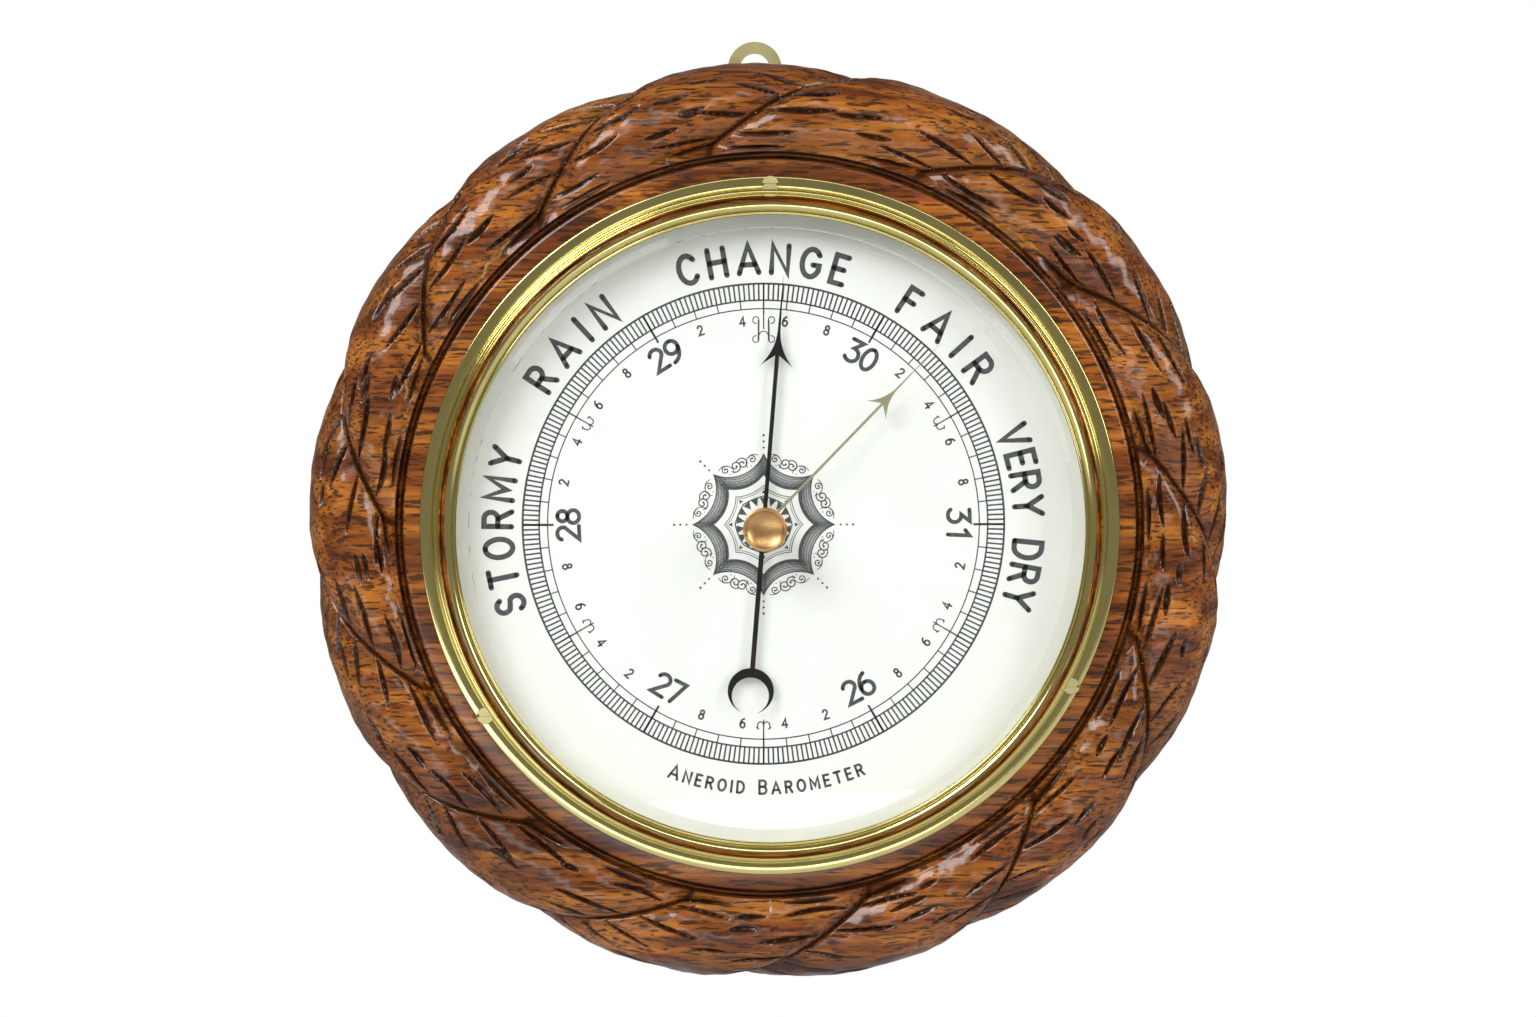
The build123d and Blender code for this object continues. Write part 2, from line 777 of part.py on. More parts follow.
# ---- main spring -----------------------------------------------------------------------
with BuildPart() as main_spring:
    with BuildSketch(side(arbor_x)):
        with Locations(((lower_leg + lever_back) / 2, spring_bend_z)):
            Circle(spring_bend + spring_thickness)
            Circle(spring_bend, mode=Mode.SUBTRACT)
            Rectangle(
                4 * spring_bend + 4 * spring_thickness,
                2 * spring_bend + 2 * spring_thickness,
                align=(Align.CENTER, Align.MAX),
                mode=Mode.SUBTRACT,
            )
        with Locations((lower_leg, spring_bend_z)):
            Rectangle(spring_thickness, spring_bend_z - lower_leg_end, align=(Align.MIN, Align.MAX))
        with Locations((upper_leg, spring_bend_z)):
            Rectangle(spring_thickness, spring_bend_z + upper_leg_end, align=(Align.MIN, Align.MAX))
    extrude(amount=spring_width / 2, both=True)
    with BuildSketch(dial_face(upper_leg)):
        Circle(post_radius + post_clearance)
        with Locations(*lever_screw_points):
            Circle(small_screw_radius)
    extrude(amount=spring_thickness, mode=Mode.SUBTRACT)
    with BuildSketch(dial_face(lower_leg)):
        with Locations(*clamp_screw_points):
            Circle(small_screw_radius)
    extrude(amount=spring_thickness, mode=Mode.SUBTRACT)
save(main_spring, "main_spring")

with BuildPart() as spring_clamp:
    with BuildSketch(dial_face(lower_leg + spring_thickness)):
        with Locations((0, bridge_z)):
            Rectangle(spring_width, clamp_width)
        with Locations(*clamp_screw_points):
            Circle(small_screw_radius, mode=Mode.SUBTRACT)
    extrude(amount=clamp_thickness)
save(spring_clamp, "spring_clamp")

with BuildPart() as spring_clamp_screws:
    with Locations(*at(dial_face(clamp_front), clamp_screw_points)):
        add(cheese_head_screw(small_head_radius, small_head_height, spring_clamp_grip))
save(spring_clamp_screws, "spring_clamp_screws")


# ---- main lever and link rod -----------------------------------------------------------
with BuildPart() as main_lever:
    with BuildSketch(dial_face(lever_back)):
        Polygon(
            (lever_x - lever_pad, -lever_pad_top),
            (lever_x + lever_pad, -lever_pad_top),
            (lever_x + lever_pad, -upper_leg_end),
            (lever_x + lever_tip_width / 2, -lever_reach),
            (lever_x - lever_tip_width / 2, -lever_reach),
            (lever_x - lever_pad, -upper_leg_end),
            align=None,
        )
        with Locations((lever_x, -lever_reach)):
            Circle(lever_tip_width / 2)
            Circle(link_stud_radius, mode=Mode.SUBTRACT)
        with Locations(*lever_screw_points):
            Circle(small_screw_radius, mode=Mode.SUBTRACT)
    extrude(amount=lever_thickness)
save(main_lever, "main_lever")

with BuildPart() as lever_screws:
    with Locations(*at(dial_face(lever_back + lever_thickness), lever_screw_points)):
        add(cheese_head_screw(small_head_radius, small_head_height, lever_thickness + spring_thickness))
save(lever_screws, "lever_screws")

with BuildPart() as link_rod:
    with BuildSketch(side(arbor_x + lever_x)):
        with Locations((rocker_depth, -lever_reach)):
            Circle(link_eye_radius)
            Rectangle(lever_back - rocker_depth, link_eye_radius, align=(Align.MIN, Align.CENTER))
            Circle(link_eye_radius / 2, mode=Mode.SUBTRACT)
    extrude(amount=link_thickness / 2, both=True)
    with BuildSketch(dial_face(lever_back)):
        with Locations((lever_x, -lever_reach)):
            Circle(link_stud_radius)
    extrude(amount=lever_thickness + link_stud_radius)
save(link_rod, "link_rod")


# ---- rocking shaft and its bracket -----------------------------------------------------
with BuildPart() as rocking_shaft:
    with BuildSketch(side(arbor_x)):
        with Locations((rocker_depth, -rocker_z)):
            Circle(rocker_radius)
    extrude(amount=bracket_span / 2 - running_fit, both=True)
    with BuildSketch(side(arbor_x)):
        with Locations((rocker_depth, -rocker_z)):
            Circle(rocker_pivot_radius)
    extrude(amount=bracket_span / 2 + bracket_thickness, both=True)
    # the short arm that the link rod works, beside the link, and its pin
    with BuildSketch(side(arbor_x + lever_x + drive_arm_offset)):
        with Locations((rocker_depth, -rocker_z)):
            Circle(rocker_radius + arm_wall)
            Rectangle(2 * arm_wall, rocker_arm, align=(Align.CENTER, Align.MIN))
        with Locations((rocker_depth, rocker_arm - rocker_z)):
            Circle(arm_wall)
    extrude(amount=-arm_thickness)
    with BuildSketch(side(arbor_x + lever_x + drive_arm_offset)):
        with Locations((rocker_depth, rocker_arm - rocker_z)):
            Circle(link_pin_radius)
    extrude(amount=2 * drive_arm_offset)
    # the long arm that pulls the chain
    with BuildSketch(side(arbor_x - pitch_radius)):
        with Locations((rocker_depth, -rocker_z)):
            Circle(rocker_radius + arm_wall)
            Rectangle(chain_arm + arm_wall, 2 * arm_wall, align=(Align.MIN, Align.CENTER))
    extrude(amount=arm_thickness / 2, both=True)
save(rocking_shaft, "rocking_shaft")

with BuildPart() as rocking_shaft_bracket:
    with BuildSketch(dial_face(base_front)):
        with Locations((0, -rocker_z)):
            Rectangle(bracket_span + 2 * bracket_thickness, bracket_width)
        with Locations(*bracket_screw_points):
            Circle(small_screw_radius, mode=Mode.SUBTRACT)
    extrude(amount=bracket_thickness)
    for left_or_right in (-1, 1):
        with BuildSketch(side(arbor_x + left_or_right * (bracket_span + bracket_thickness) / 2)):
            with Locations((base_front, -rocker_z)):
                Rectangle(
                    rocker_depth - base_front, bracket_width, align=(Align.MIN, Align.CENTER)
                )
            with Locations((rocker_depth, -rocker_z)):
                Circle(bracket_width / 2)
                Circle(rocker_pivot_radius + running_fit, mode=Mode.SUBTRACT)
        extrude(amount=bracket_thickness / 2, both=True)
save(rocking_shaft_bracket, "rocking_shaft_bracket")

with BuildPart() as bracket_screws:
    with Locations(*at(dial_face(base_front + bracket_thickness), bracket_screw_points)):
        add(cheese_head_screw(small_head_radius, small_head_height, bracket_grip))
save(bracket_screws, "bracket_screws")


# ---- chain -----------------------------------------------------------------------------
chain_length = rocker_z - arm_wall - chain_slack
chain_links = round(chain_length / link_pitch)
with BuildPart() as chain:
    with BuildSketch(side(arbor_x - pitch_radius)):
        with Locations((chain_depth, 0)):
            Rectangle(chain_thickness / 2, chain_length, align=(Align.CENTER, Align.MAX))
        for link in range(chain_links):
            with Locations((chain_depth, -(link + 0.5) * chain_length / chain_links)):
                SlotOverall(0.8 * chain_length / chain_links, chain_thickness, rotation=90)
    extrude(amount=chain_thickness / 2, both=True)
save(chain, "chain")


# ---- hand arbor, barrel and hairspring -------------------------------------------------
with BuildPart() as hand_arbor:
    with BuildSketch(dial_face(arbor_bridge_back)):
        Circle(arbor_radius)
    extrude(amount=arbor_tip - arbor_bridge_back)
    chamfer(hand_arbor.edges().group_by(Axis.Y)[0], arbor_radius / 2)
save(hand_arbor, "hand_arbor")

with BuildPart() as chain_barrel:
    with BuildSketch(dial_face(barrel_back)):
        Circle(barrel_radius)
        Circle(arbor_radius, mode=Mode.SUBTRACT)
    extrude(amount=barrel_front - barrel_back)
    with BuildSketch(dial_face(barrel_back), dial_face(barrel_front - barrel_flange)):
        Circle(barrel_radius + barrel_flange_width)
        Circle(arbor_radius, mode=Mode.SUBTRACT)
    extrude(amount=barrel_flange)
save(chain_barrel, "chain_barrel")

with BuildPart() as hairspring_collet:
    with BuildSketch(dial_face(hairspring_back)):
        Circle(collet_radius)
        Circle(arbor_radius, mode=Mode.SUBTRACT)
    extrude(amount=hairspring_front - hairspring_back)
save(hairspring_collet, "hairspring_collet")


def spiral(offset):
    """Points of one face of the hairspring, an eighth of a turn apart, ending on the left."""
    steps = round(8 * hairspring_turns)
    points = []
    for step in range(steps + 1):
        radius = hairspring_inner + (hairspring_outer - hairspring_inner) * step / steps + offset
        angle = math.radians(45 * step)
        points.append((radius * math.cos(angle), radius * math.sin(angle)))
    return points


with BuildPart() as hairspring:
    with BuildSketch(dial_face(hairspring_back)):
        with BuildLine():
            inside = Spline(*spiral(0))
            outside = Spline(*spiral(hairspring_thickness))
            Line(inside @ 0, outside @ 0)
            Line(inside @ 1, outside @ 1)
        make_face()
    extrude(amount=hairspring_front - hairspring_back)
save(hairspring, "hairspring")

with BuildPart() as hairspring_stud:
    with BuildSketch(dial_face(hairspring_back)):
        with Locations((-hairspring_outer - hairspring_thickness - stud_radius, 0)):
            Circle(stud_radius)
    extrude(amount=cock_back - hairspring_back)
save(hairspring_stud, "hairspring_stud")


# ---- arbor bridge and cock -------------------------------------------------------------
def bar_with_bearing(depth, thickness, reach, width, screw_points):
    """A flat bar across the arbor, with its bearing hole and its screw holes."""
    with BuildPart() as bar:
        with BuildSketch(dial_face(depth)):
            SlotOverall(2 * (reach + bar_end), width)
            Circle(arbor_radius + running_fit, mode=Mode.SUBTRACT)
            with Locations(*screw_points):
                Circle(small_screw_radius, mode=Mode.SUBTRACT)
        extrude(amount=thickness)
    return bar


def pillars(points, radius, back, front, screw_depth):
    """Round pillars between two depths, with a spigot below and a tapped hole on top."""
    with BuildPart() as group:
        with BuildSketch(dial_face(back)):
            with Locations(*points):
                Circle(radius)
        extrude(amount=front - back)
        with BuildSketch(dial_face(back)):
            with Locations(*points):
                Circle(spigot_radius)
        extrude(amount=-base_plate_thickness)
        with BuildSketch(dial_face(front)):
            with Locations(*points):
                Circle(small_screw_radius)
        extrude(amount=-screw_depth, mode=Mode.SUBTRACT)
    return group


arbor_bridge = bar_with_bearing(
    arbor_bridge_back,
    bar_thickness,
    arbor_pillar_x,
    arbor_bridge_width,
    arbor_pillar_points + cock_pillar_points,
)
save(arbor_bridge, "arbor_bridge")

arbor_bridge_pillars = pillars(
    arbor_pillar_points, arbor_pillar_radius, base_front, arbor_bridge_back, small_screw_depth
)
save(arbor_bridge_pillars, "arbor_bridge_pillars")

with BuildPart() as arbor_bridge_screws:
    with Locations(*at(dial_face(arbor_bridge_front), arbor_pillar_points)):
        add(cheese_head_screw(small_head_radius, small_head_height, bar_thickness + small_screw_depth))
save(arbor_bridge_screws, "arbor_bridge_screws")

arbor_cock = bar_with_bearing(cock_back, cock_thickness, cock_pillar_x, cock_width, cock_pillar_points)
save(arbor_cock, "arbor_cock")

with BuildPart() as cock_pillars:
    with BuildSketch(dial_face(arbor_bridge_front)):
        with Locations(*cock_pillar_points):
            Circle(cock_pillar_radius)
            Circle(small_screw_radius, mode=Mode.SUBTRACT)
    extrude(amount=cock_back - arbor_bridge_front)
save(cock_pillars, "cock_pillars")

with BuildPart() as cock_screws:
    with Locations(*at(dial_face(cock_front), cock_pillar_points)):
        add(cheese_head_screw(cock_pillar_radius, cock_head_height, cock_front - arbor_bridge_back))
save(cock_screws, "cock_screws")


# ---- dial, dial plate and pillars ------------------------------------------------------
dial_pillars = pillars(pillar_points, dial_pillar_radius, base_front, dial_plate_back, small_screw_depth)
save(dial_pillars, "dial_pillars")

with BuildPart() as dial_plate:
    with BuildSketch(dial_face(dial_plate_back)):
        Circle(dial_radius - dial_plate_inset)
        Circle(dial_hole, mode=Mode.SUBTRACT)
    extrude(amount=dial_plate_thickness)
    with Locations(*at(dial_face(dial_back), pillar_points)):
        add(dial_screw_hole, mode=Mode.SUBTRACT)
save(dial_plate, "dial_plate")

with BuildPart() as dial_plate_screws:
    with Locations(*at(dial_face(dial_back), pillar_points)):
        add(countersunk_screw(dial_screw_head, small_screw_radius, dial_screw_length))
save(dial_plate_screws, "dial_plate_screws")

with BuildPart() as dial:
    with BuildSketch(dial_face(dial_back)):
        Circle(dial_radius)
        Circle(dial_hole, mode=Mode.SUBTRACT)
    extrude(amount=dial_thickness)
save(dial, "dial")


# ---- hands -----------------------------------------------------------------------------
def arrow_head(tip, shoulder, barb, barb_width, notch, shaft_width):
    """Half outlines, mirrored: a fine point, then a head with hollow sides and a notched base."""
    with BuildSketch() as head:
        for side_sign in (-1, 1):
            with BuildLine():
                Polyline(
                    (0, tip),
                    (side_sign * shaft_width * arrow_neck, shoulder),
                )
                ThreePointArc(
                    (side_sign * shaft_width * arrow_neck, shoulder),
                    (side_sign * barb_width * arrow_hollow, (shoulder + barb) / 2),
                    (side_sign * barb_width / 2, barb),
                )
                Polyline(
                    (side_sign * barb_width / 2, barb),
                    (side_sign * shaft_width / 2, notch),
                    (side_sign * shaft_width / 2, 0),
                    (0, 0),
                    (0, tip),
                )
            make_face()
    return head.sketch


def hand_plane(depth, degrees):
    """A dial plane turned so that local +Y points along a hand."""
    return Plane(dial_face(depth).location * Location((0, 0, 0), (0, 0, -degrees)))


pressure_head = arrow_head(
    hand_tip, hand_shoulder, hand_barb, hand_barb_width, hand_notch, hand_shaft_width
)
with BuildPart() as pressure_hand:
    with BuildSketch(hand_plane(hand_depth, hand_angle)):
        add(pressure_head)
        with Locations((0, -crescent_centre)):
            Circle(crescent_radius)
        with Locations((0, -crescent_centre - crescent_offset)):
            Circle(crescent_hollow, mode=Mode.SUBTRACT)
        with Locations((0, 0)):
            Rectangle(
                tail_width,
                crescent_centre - crescent_radius + crescent_offset,
                align=(Align.CENTER, Align.MAX),
            )
            Circle(hand_boss_radius + hand_eye_wall)
            Circle(hand_boss_radius, mode=Mode.SUBTRACT)
    extrude(amount=hand_thickness)
save(pressure_hand, "pressure_hand")

with BuildPart() as pressure_hand_collet:
    with BuildSketch(dial_face(hand_depth - collet_height)):
        Circle(hand_boss_radius)
        Circle(arbor_radius, mode=Mode.SUBTRACT)
    extrude(amount=arbor_tip - hand_depth + collet_height - end_gap)
save(pressure_hand_collet, "pressure_hand_collet")

set_head = arrow_head(
    set_hand_tip,
    set_hand_shoulder,
    set_hand_barb,
    set_hand_barb_width,
    set_hand_notch,
    set_hand_shaft_width,
)
with BuildPart() as set_hand:
    with BuildSketch(hand_plane(set_hand_depth, set_hand_angle)):
        add(set_head)
        Circle(set_boss_radius + hand_eye_wall)
        Circle(set_boss_radius, mode=Mode.SUBTRACT)
    extrude(amount=hand_thickness)
save(set_hand, "set_hand")

with BuildPart() as set_hand_boss:
    with BuildSketch(dial_face(set_boss_back)):
        Circle(set_boss_radius)
        Circle(knob_shaft_radius, mode=Mode.SUBTRACT)
    extrude(amount=bush_back - set_boss_back - running_fit)
save(set_hand_boss, "set_hand_boss")

with BuildPart() as set_hand_knob:
    with BuildSketch(profile(arbor_x, arbor_z)):
        with BuildLine():
            Polyline(
                (0, set_boss_back),
                (knob_shaft_radius, set_boss_back),
                (knob_shaft_radius, knob_back),
                (knob_foot_radius, knob_back),
                (knob_foot_radius, knob_back + knob_base),
            )
            ThreePointArc(
                (knob_foot_radius, knob_back + knob_base),
                (knob_waist_radius, (knob_back + knob_top) / 2 - knob_base),
                (knob_radius, knob_top - knob_rim),
            )
            Line((knob_radius, knob_top - knob_rim), (knob_radius, knob_top - knob_edge))
            ThreePointArc(
                (knob_radius, knob_top - knob_edge),
                (knob_radius - knob_round, knob_top - knob_round),
                (knob_radius - knob_edge, knob_top),
            )
            TangentArc((0, knob_top - knob_dish), (knob_radius - knob_edge, knob_top), tangent=(1, 0))
            Line((0, knob_top - knob_dish), (0, set_boss_back))
        make_face()
    revolve(axis=turn_axis(arbor_x, arbor_z))
save(set_hand_knob, "set_hand_knob")
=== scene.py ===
"""The looks of a round wall aneroid barometer in a carved oak rope surround.

Shapes are worked out in millimetres on the barometer's face: x to the right, z up, and depth out from the
wall towards the viewer. Angles are in degrees, clockwise from the top. new_piece() turns all of that into
the frame's metres, where depth is minus y.
"""

import json
import math

import bmesh
import bpy
import numpy as np
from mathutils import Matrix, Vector

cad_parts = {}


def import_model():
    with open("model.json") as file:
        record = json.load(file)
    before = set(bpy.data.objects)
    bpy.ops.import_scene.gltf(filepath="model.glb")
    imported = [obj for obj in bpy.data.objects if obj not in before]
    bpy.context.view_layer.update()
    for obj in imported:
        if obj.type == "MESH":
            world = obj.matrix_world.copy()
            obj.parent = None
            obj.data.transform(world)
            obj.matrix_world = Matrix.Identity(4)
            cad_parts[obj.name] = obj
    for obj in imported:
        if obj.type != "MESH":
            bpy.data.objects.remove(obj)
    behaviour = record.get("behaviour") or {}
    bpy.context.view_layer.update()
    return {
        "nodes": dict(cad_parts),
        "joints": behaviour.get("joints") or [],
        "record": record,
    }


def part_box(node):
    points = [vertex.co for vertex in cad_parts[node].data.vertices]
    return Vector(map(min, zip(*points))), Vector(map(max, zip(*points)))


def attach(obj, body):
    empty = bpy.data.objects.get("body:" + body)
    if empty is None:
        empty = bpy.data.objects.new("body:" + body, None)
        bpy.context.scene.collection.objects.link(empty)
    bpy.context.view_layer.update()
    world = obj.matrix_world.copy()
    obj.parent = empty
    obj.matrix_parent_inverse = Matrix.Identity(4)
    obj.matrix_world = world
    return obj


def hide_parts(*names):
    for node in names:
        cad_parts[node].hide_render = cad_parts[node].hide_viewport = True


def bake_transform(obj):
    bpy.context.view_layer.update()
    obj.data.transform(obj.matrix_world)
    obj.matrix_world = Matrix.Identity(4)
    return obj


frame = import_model()
MM = 0.001


# ---- sizes from the frame --------------------------------------------------------------
def low(node):
    """A node's lowest x, its back depth and its lowest z, in millimetres."""
    lo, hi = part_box(node)
    return lo.x / MM, -hi.y / MM, lo.z / MM


def high(node):
    """A node's highest x, its front depth and its highest z, in millimetres."""
    lo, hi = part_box(node)
    return hi.x / MM, -lo.y / MM, hi.z / MM


def radius_of(node):
    """Half a round node's width, in millimetres."""
    return (high(node)[0] - low(node)[0]) / 2


joints = {joint["name"]: joint for joint in frame["joints"]}
hand_axis = joints["pressure_hand_turn"]["pos_m"]
arbor = (hand_axis[0] / MM, hand_axis[2] / MM)

crest_radius = radius_of("carved_surround")
wood_front = high("carved_surround")[1]
bezel_radius = radius_of("bezel")
bezel_top = high("bezel")[1]
fillet_depth = low("bezel")[1]
glass_radius = radius_of("bevelled_glass")
glass_back = low("bevelled_glass")[1]
glass_front = high("bevelled_glass")[1]
bush_hole = radius_of("glass_bush_nut")
dial_front = high("dial")[1]
case_flange_radius = radius_of("movement_case")
plate_left = low("hanging_plate")[0]
plate_foot = low("hanging_plate")[2]
plate_right, plate_front = high("hanging_plate")[:2]
knob_foot = low("set_hand_knob")[1]
knob_top = high("set_hand_knob")[1]
knob_radius = radius_of("set_hand_knob")


# ---- points, arcs and meshes -----------------------------------------------------------
def polar(radius, angle, centre=(0.0, 0.0)):
    """The (x, z) point at a radius and a clockwise angle round a centre."""
    turn = math.radians(angle)
    return centre[0] + radius * math.sin(turn), centre[1] + radius * math.cos(turn)


def arc(start, middle, end, steps=10):
    """Points along the circle through three points, start and end among them."""
    (ax, ay), (bx, by), (cx, cy) = start, middle, end
    twice_area = 2 * (ax * (by - cy) + bx * (cy - ay) + cx * (ay - by))
    a, b, c = ax * ax + ay * ay, bx * bx + by * by, cx * cx + cy * cy
    x = (a * (by - cy) + b * (cy - ay) + c * (ay - by)) / twice_area
    y = (a * (cx - bx) + b * (ax - cx) + c * (bx - ax)) / twice_area
    first = math.atan2(ay - y, ax - x)
    turn = (math.atan2(cy - y, cx - x) - first) % math.tau
    if (math.atan2(by - y, bx - x) - first) % math.tau > turn:
        turn -= math.tau
    radius = math.hypot(ax - x, ay - y)
    angles = [first + turn * step / steps for step in range(steps + 1)]
    return [(x + radius * math.cos(angle), y + radius * math.sin(angle)) for angle in angles]


def grid_faces(rows, columns, close_rows=False, close_columns=False):
    """The four-cornered faces between the points of a grid, which may close on itself either way."""
    row = np.arange(rows if close_rows else rows - 1)
    column = np.arange(columns if close_columns else columns - 1)
    row, column = np.meshgrid(row, column, indexing="ij")
    next_row, next_column = (row + 1) % rows, (column + 1) % columns
    corners = ((row, column), (row, next_column), (next_row, next_column), (next_row, column))
    return np.stack([r * columns + c for r, c in corners], -1).reshape(-1, 4)


def new_piece(name, points, faces, body, material, sharp=30):
    """A piece from points of (x, depth, z) in millimetres, riding on a body of the frame."""
    x, depth, z = np.asarray(points, float).T
    mesh = bpy.data.meshes.new(name)
    places = (np.column_stack((x, -depth, z)) * MM).tolist()
    mesh.from_pydata(places, [], [list(map(int, face)) for face in faces])
    mesh.shade_smooth()
    mesh.set_sharp_from_angle(angle=math.radians(sharp))
    mesh.materials.append(material)
    piece = bpy.data.objects.new(name, mesh)
    bpy.context.scene.collection.objects.link(piece)
    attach(piece, body)
    return piece


def weld(piece):
    """Joins points that lie together and turns every face outwards."""
    shape = bmesh.new()
    shape.from_mesh(piece.data)
    bmesh.ops.remove_doubles(shape, verts=shape.verts, dist=0.001 * MM)
    bmesh.ops.recalc_face_normals(shape, faces=shape.faces)
    shape.to_mesh(piece.data)
    shape.free()


def lathe(name, outline, centre, body, material, steps=384, sharp=30):
    """A closed outline of (radius, depth) points turned about an axis that comes out of the wall."""
    radii, depths = np.array(outline, float).T
    turn = np.linspace(0, math.tau, steps, endpoint=False)
    x = centre[0] + np.outer(np.sin(turn), radii)
    z = centre[1] + np.outer(np.cos(turn), radii)
    points = np.stack((x, np.tile(depths, (steps, 1)), z), -1).reshape(-1, 3)
    faces = grid_faces(steps, len(outline), close_rows=True, close_columns=True)
    piece = new_piece(name, points, faces, body, material)
    weld(piece)
    piece.data.set_sharp_from_angle(angle=math.radians(sharp))
    return piece


def cut(piece, cutter):
    """Takes the cutter's shape out of a piece, and throws the cutter away."""
    modifier = piece.modifiers.new("cut", "BOOLEAN")
    modifier.object = cutter
    modifier.solver = "EXACT"
    evaluated = piece.evaluated_get(bpy.context.evaluated_depsgraph_get())
    mesh = bpy.data.meshes.new_from_object(evaluated)
    piece.modifiers.clear()
    piece.data = mesh
    bpy.data.objects.remove(cutter)


# ---- materials -------------------------------------------------------------------------
class Finish:
    """A material being mixed: a principled shader and short calls for the nodes that feed it."""

    def __init__(self, name, colour, roughness, metallic=0.0, **constants):
        self.material = bpy.data.materials.new(name)
        self.material.use_nodes = True
        self.tree = self.material.node_tree
        self.shader = self.tree.nodes["Principled BSDF"]
        self.material.diffuse_color = (*colour, 1)
        self.shader.inputs["Base Color"].default_value = (*colour, 1)
        self.shader.inputs["Roughness"].default_value = roughness
        self.shader.inputs["Metallic"].default_value = metallic
        for socket, value in constants.items():
            self.shader.inputs[socket.replace("_", " ")].default_value = value
        self.place = self.tree.nodes.new("ShaderNodeTexCoord").outputs["Object"]

    def node(self, kind, **inputs):
        """A new node, each of its named inputs set to a value or joined to another node's output."""
        made = self.tree.nodes.new(kind)
        for name, value in inputs.items():
            self.feed(made.inputs[name.replace("_", " ")], value)
        return made

    def feed(self, socket, value):
        if isinstance(value, bpy.types.NodeSocket):
            self.tree.links.new(value, socket)
        else:
            socket.default_value = value

    def noise(self, scale, detail=4.0, roughness=0.55, distortion=0.0, place=None):
        """Noise whose grains are 1 / scale metres long along x, y and z."""
        stretch = self.node("ShaderNodeMapping", Vector=place or self.place, Scale=scale)
        texture = self.node(
            "ShaderNodeTexNoise",
            Vector=stretch.outputs["Vector"],
            Scale=1.0,
            Detail=detail,
            Roughness=roughness,
            Distortion=distortion,
        )
        return texture.outputs["Fac"]

    def ramp(self, value, *stops):
        """A colour or a grey for each value, from stops of (value, colour or grey)."""
        made = self.node("ShaderNodeValToRGB", Fac=value)
        elements = made.color_ramp.elements
        while len(elements) < len(stops):
            elements.new(0.5)
        for element, (position, colour) in zip(elements, stops):
            element.position = position
            element.color = (*colour, 1) if isinstance(colour, tuple) else (colour, colour, colour, 1)
        return made.outputs["Color"]

    def mix(self, amount, first, second, blend="MIX"):
        made = self.tree.nodes.new("ShaderNodeMix")
        made.data_type = "RGBA"
        made.blend_type = blend
        for index, value in ((0, amount), (6, first), (7, second)):
            if isinstance(value, tuple):
                value = (*value, 1)
            self.feed(made.inputs[index], value)
        return made.outputs[2]

    def maths(self, operation, first, second=0.0):
        made = self.tree.nodes.new("ShaderNodeMath")
        made.operation = operation
        self.feed(made.inputs[0], first)
        self.feed(made.inputs[1], second)
        return made.outputs["Value"]

    def attribute(self, name):
        """A number kept at every point of the mesh."""
        made = self.tree.nodes.new("ShaderNodeAttribute")
        made.attribute_name = name
        return made.outputs["Fac"]

    def radius(self):
        """The distance from the surround's axis, in metres."""
        flat = self.node("ShaderNodeVectorMath", Vector=self.place)
        flat.operation = "MULTIPLY"
        flat.inputs[1].default_value = (1, 0, 1)
        made = self.node("ShaderNodeVectorMath", Vector=flat.outputs["Vector"])
        made.operation = "LENGTH"
        return made.outputs["Value"]

    def bump(self, height, distance, strength=1.0, under=None):
        """Relief up to a distance high, in metres."""
        made = self.node("ShaderNodeBump", Height=height, Distance=distance, Strength=strength)
        if under:
            self.feed(made.inputs["Normal"], under)
        return made.outputs["Normal"]

    def set(self, **sockets):
        for name, value in sockets.items():
            self.feed(self.shader.inputs[name.replace("_", " ")], value)


def oak_finish():
    """Stained and varnished oak with the grain along x: dark pores, bands of growth, darker cuts and
    seams, and painted shade in the rope's valleys and the quirk.
    """
    oak = Finish(
        "oak", (0.3, 0.1, 0.03), 0.4,
        Specular_IOR_Level=0.12, Coat_Weight=1.0, Coat_Roughness=0.16, Coat_IOR=1.5,
    )
    growth = oak.noise((9, 150, 150), detail=3, distortion=0.6)
    fibre = oak.noise((70, 900, 900), detail=5, roughness=0.65)
    pores = oak.noise((150, 1350, 1350), detail=2, roughness=0.5)
    patches = oak.noise((22, 30, 30), detail=2)
    colour = oak.ramp(
        growth, (0.34, (0.15, 0.032, 0.003)), (0.48, (0.37, 0.098, 0.009)), (0.62, (0.60, 0.20, 0.024))
    )
    colour = oak.mix(0.75, colour, oak.ramp(fibre, (0.3, 0.25), (0.6, 1.2)), "MULTIPLY")
    colour = oak.mix(0.7, colour, oak.ramp(patches, (0.35, 0.5), (0.62, 1.1)), "MULTIPLY")
    pore_depth = oak.ramp(pores, (0.385, 1.0), (0.455, 0.0))
    colour = oak.mix(oak.maths("MULTIPLY", pore_depth, 0.85), colour, (0.04, 0.010, 0.001))
    # darker where the mesh says so: in the gouges and seams and at the back, with painted shade on the
    # slopes into the valleys and in the quirk
    stain_and_shade = oak.attribute("stain_and_shade")
    stain_and_shade_amount = oak.ramp(stain_and_shade, (0.03, 0.0), (0.34, 0.88), (0.8, 0.97))
    colour = oak.mix(stain_and_shade_amount, colour, (0.034, 0.009, 0.001))
    oak.set(
        Base_Color=colour,
        Roughness=oak.ramp(fibre, (0.3, 0.5), (0.7, 0.32)),
        Normal=oak.bump(
            oak.maths("SUBTRACT", fibre, pore_depth),
            0.00016,
            under=oak.bump(oak.noise((60, 110, 110), detail=1), 0.0004, 0.4),
        ),
    )
    oak.feed(oak.shader.inputs["Coat Normal"], oak.bump(fibre, 0.000006, 0.4))
    return oak.material


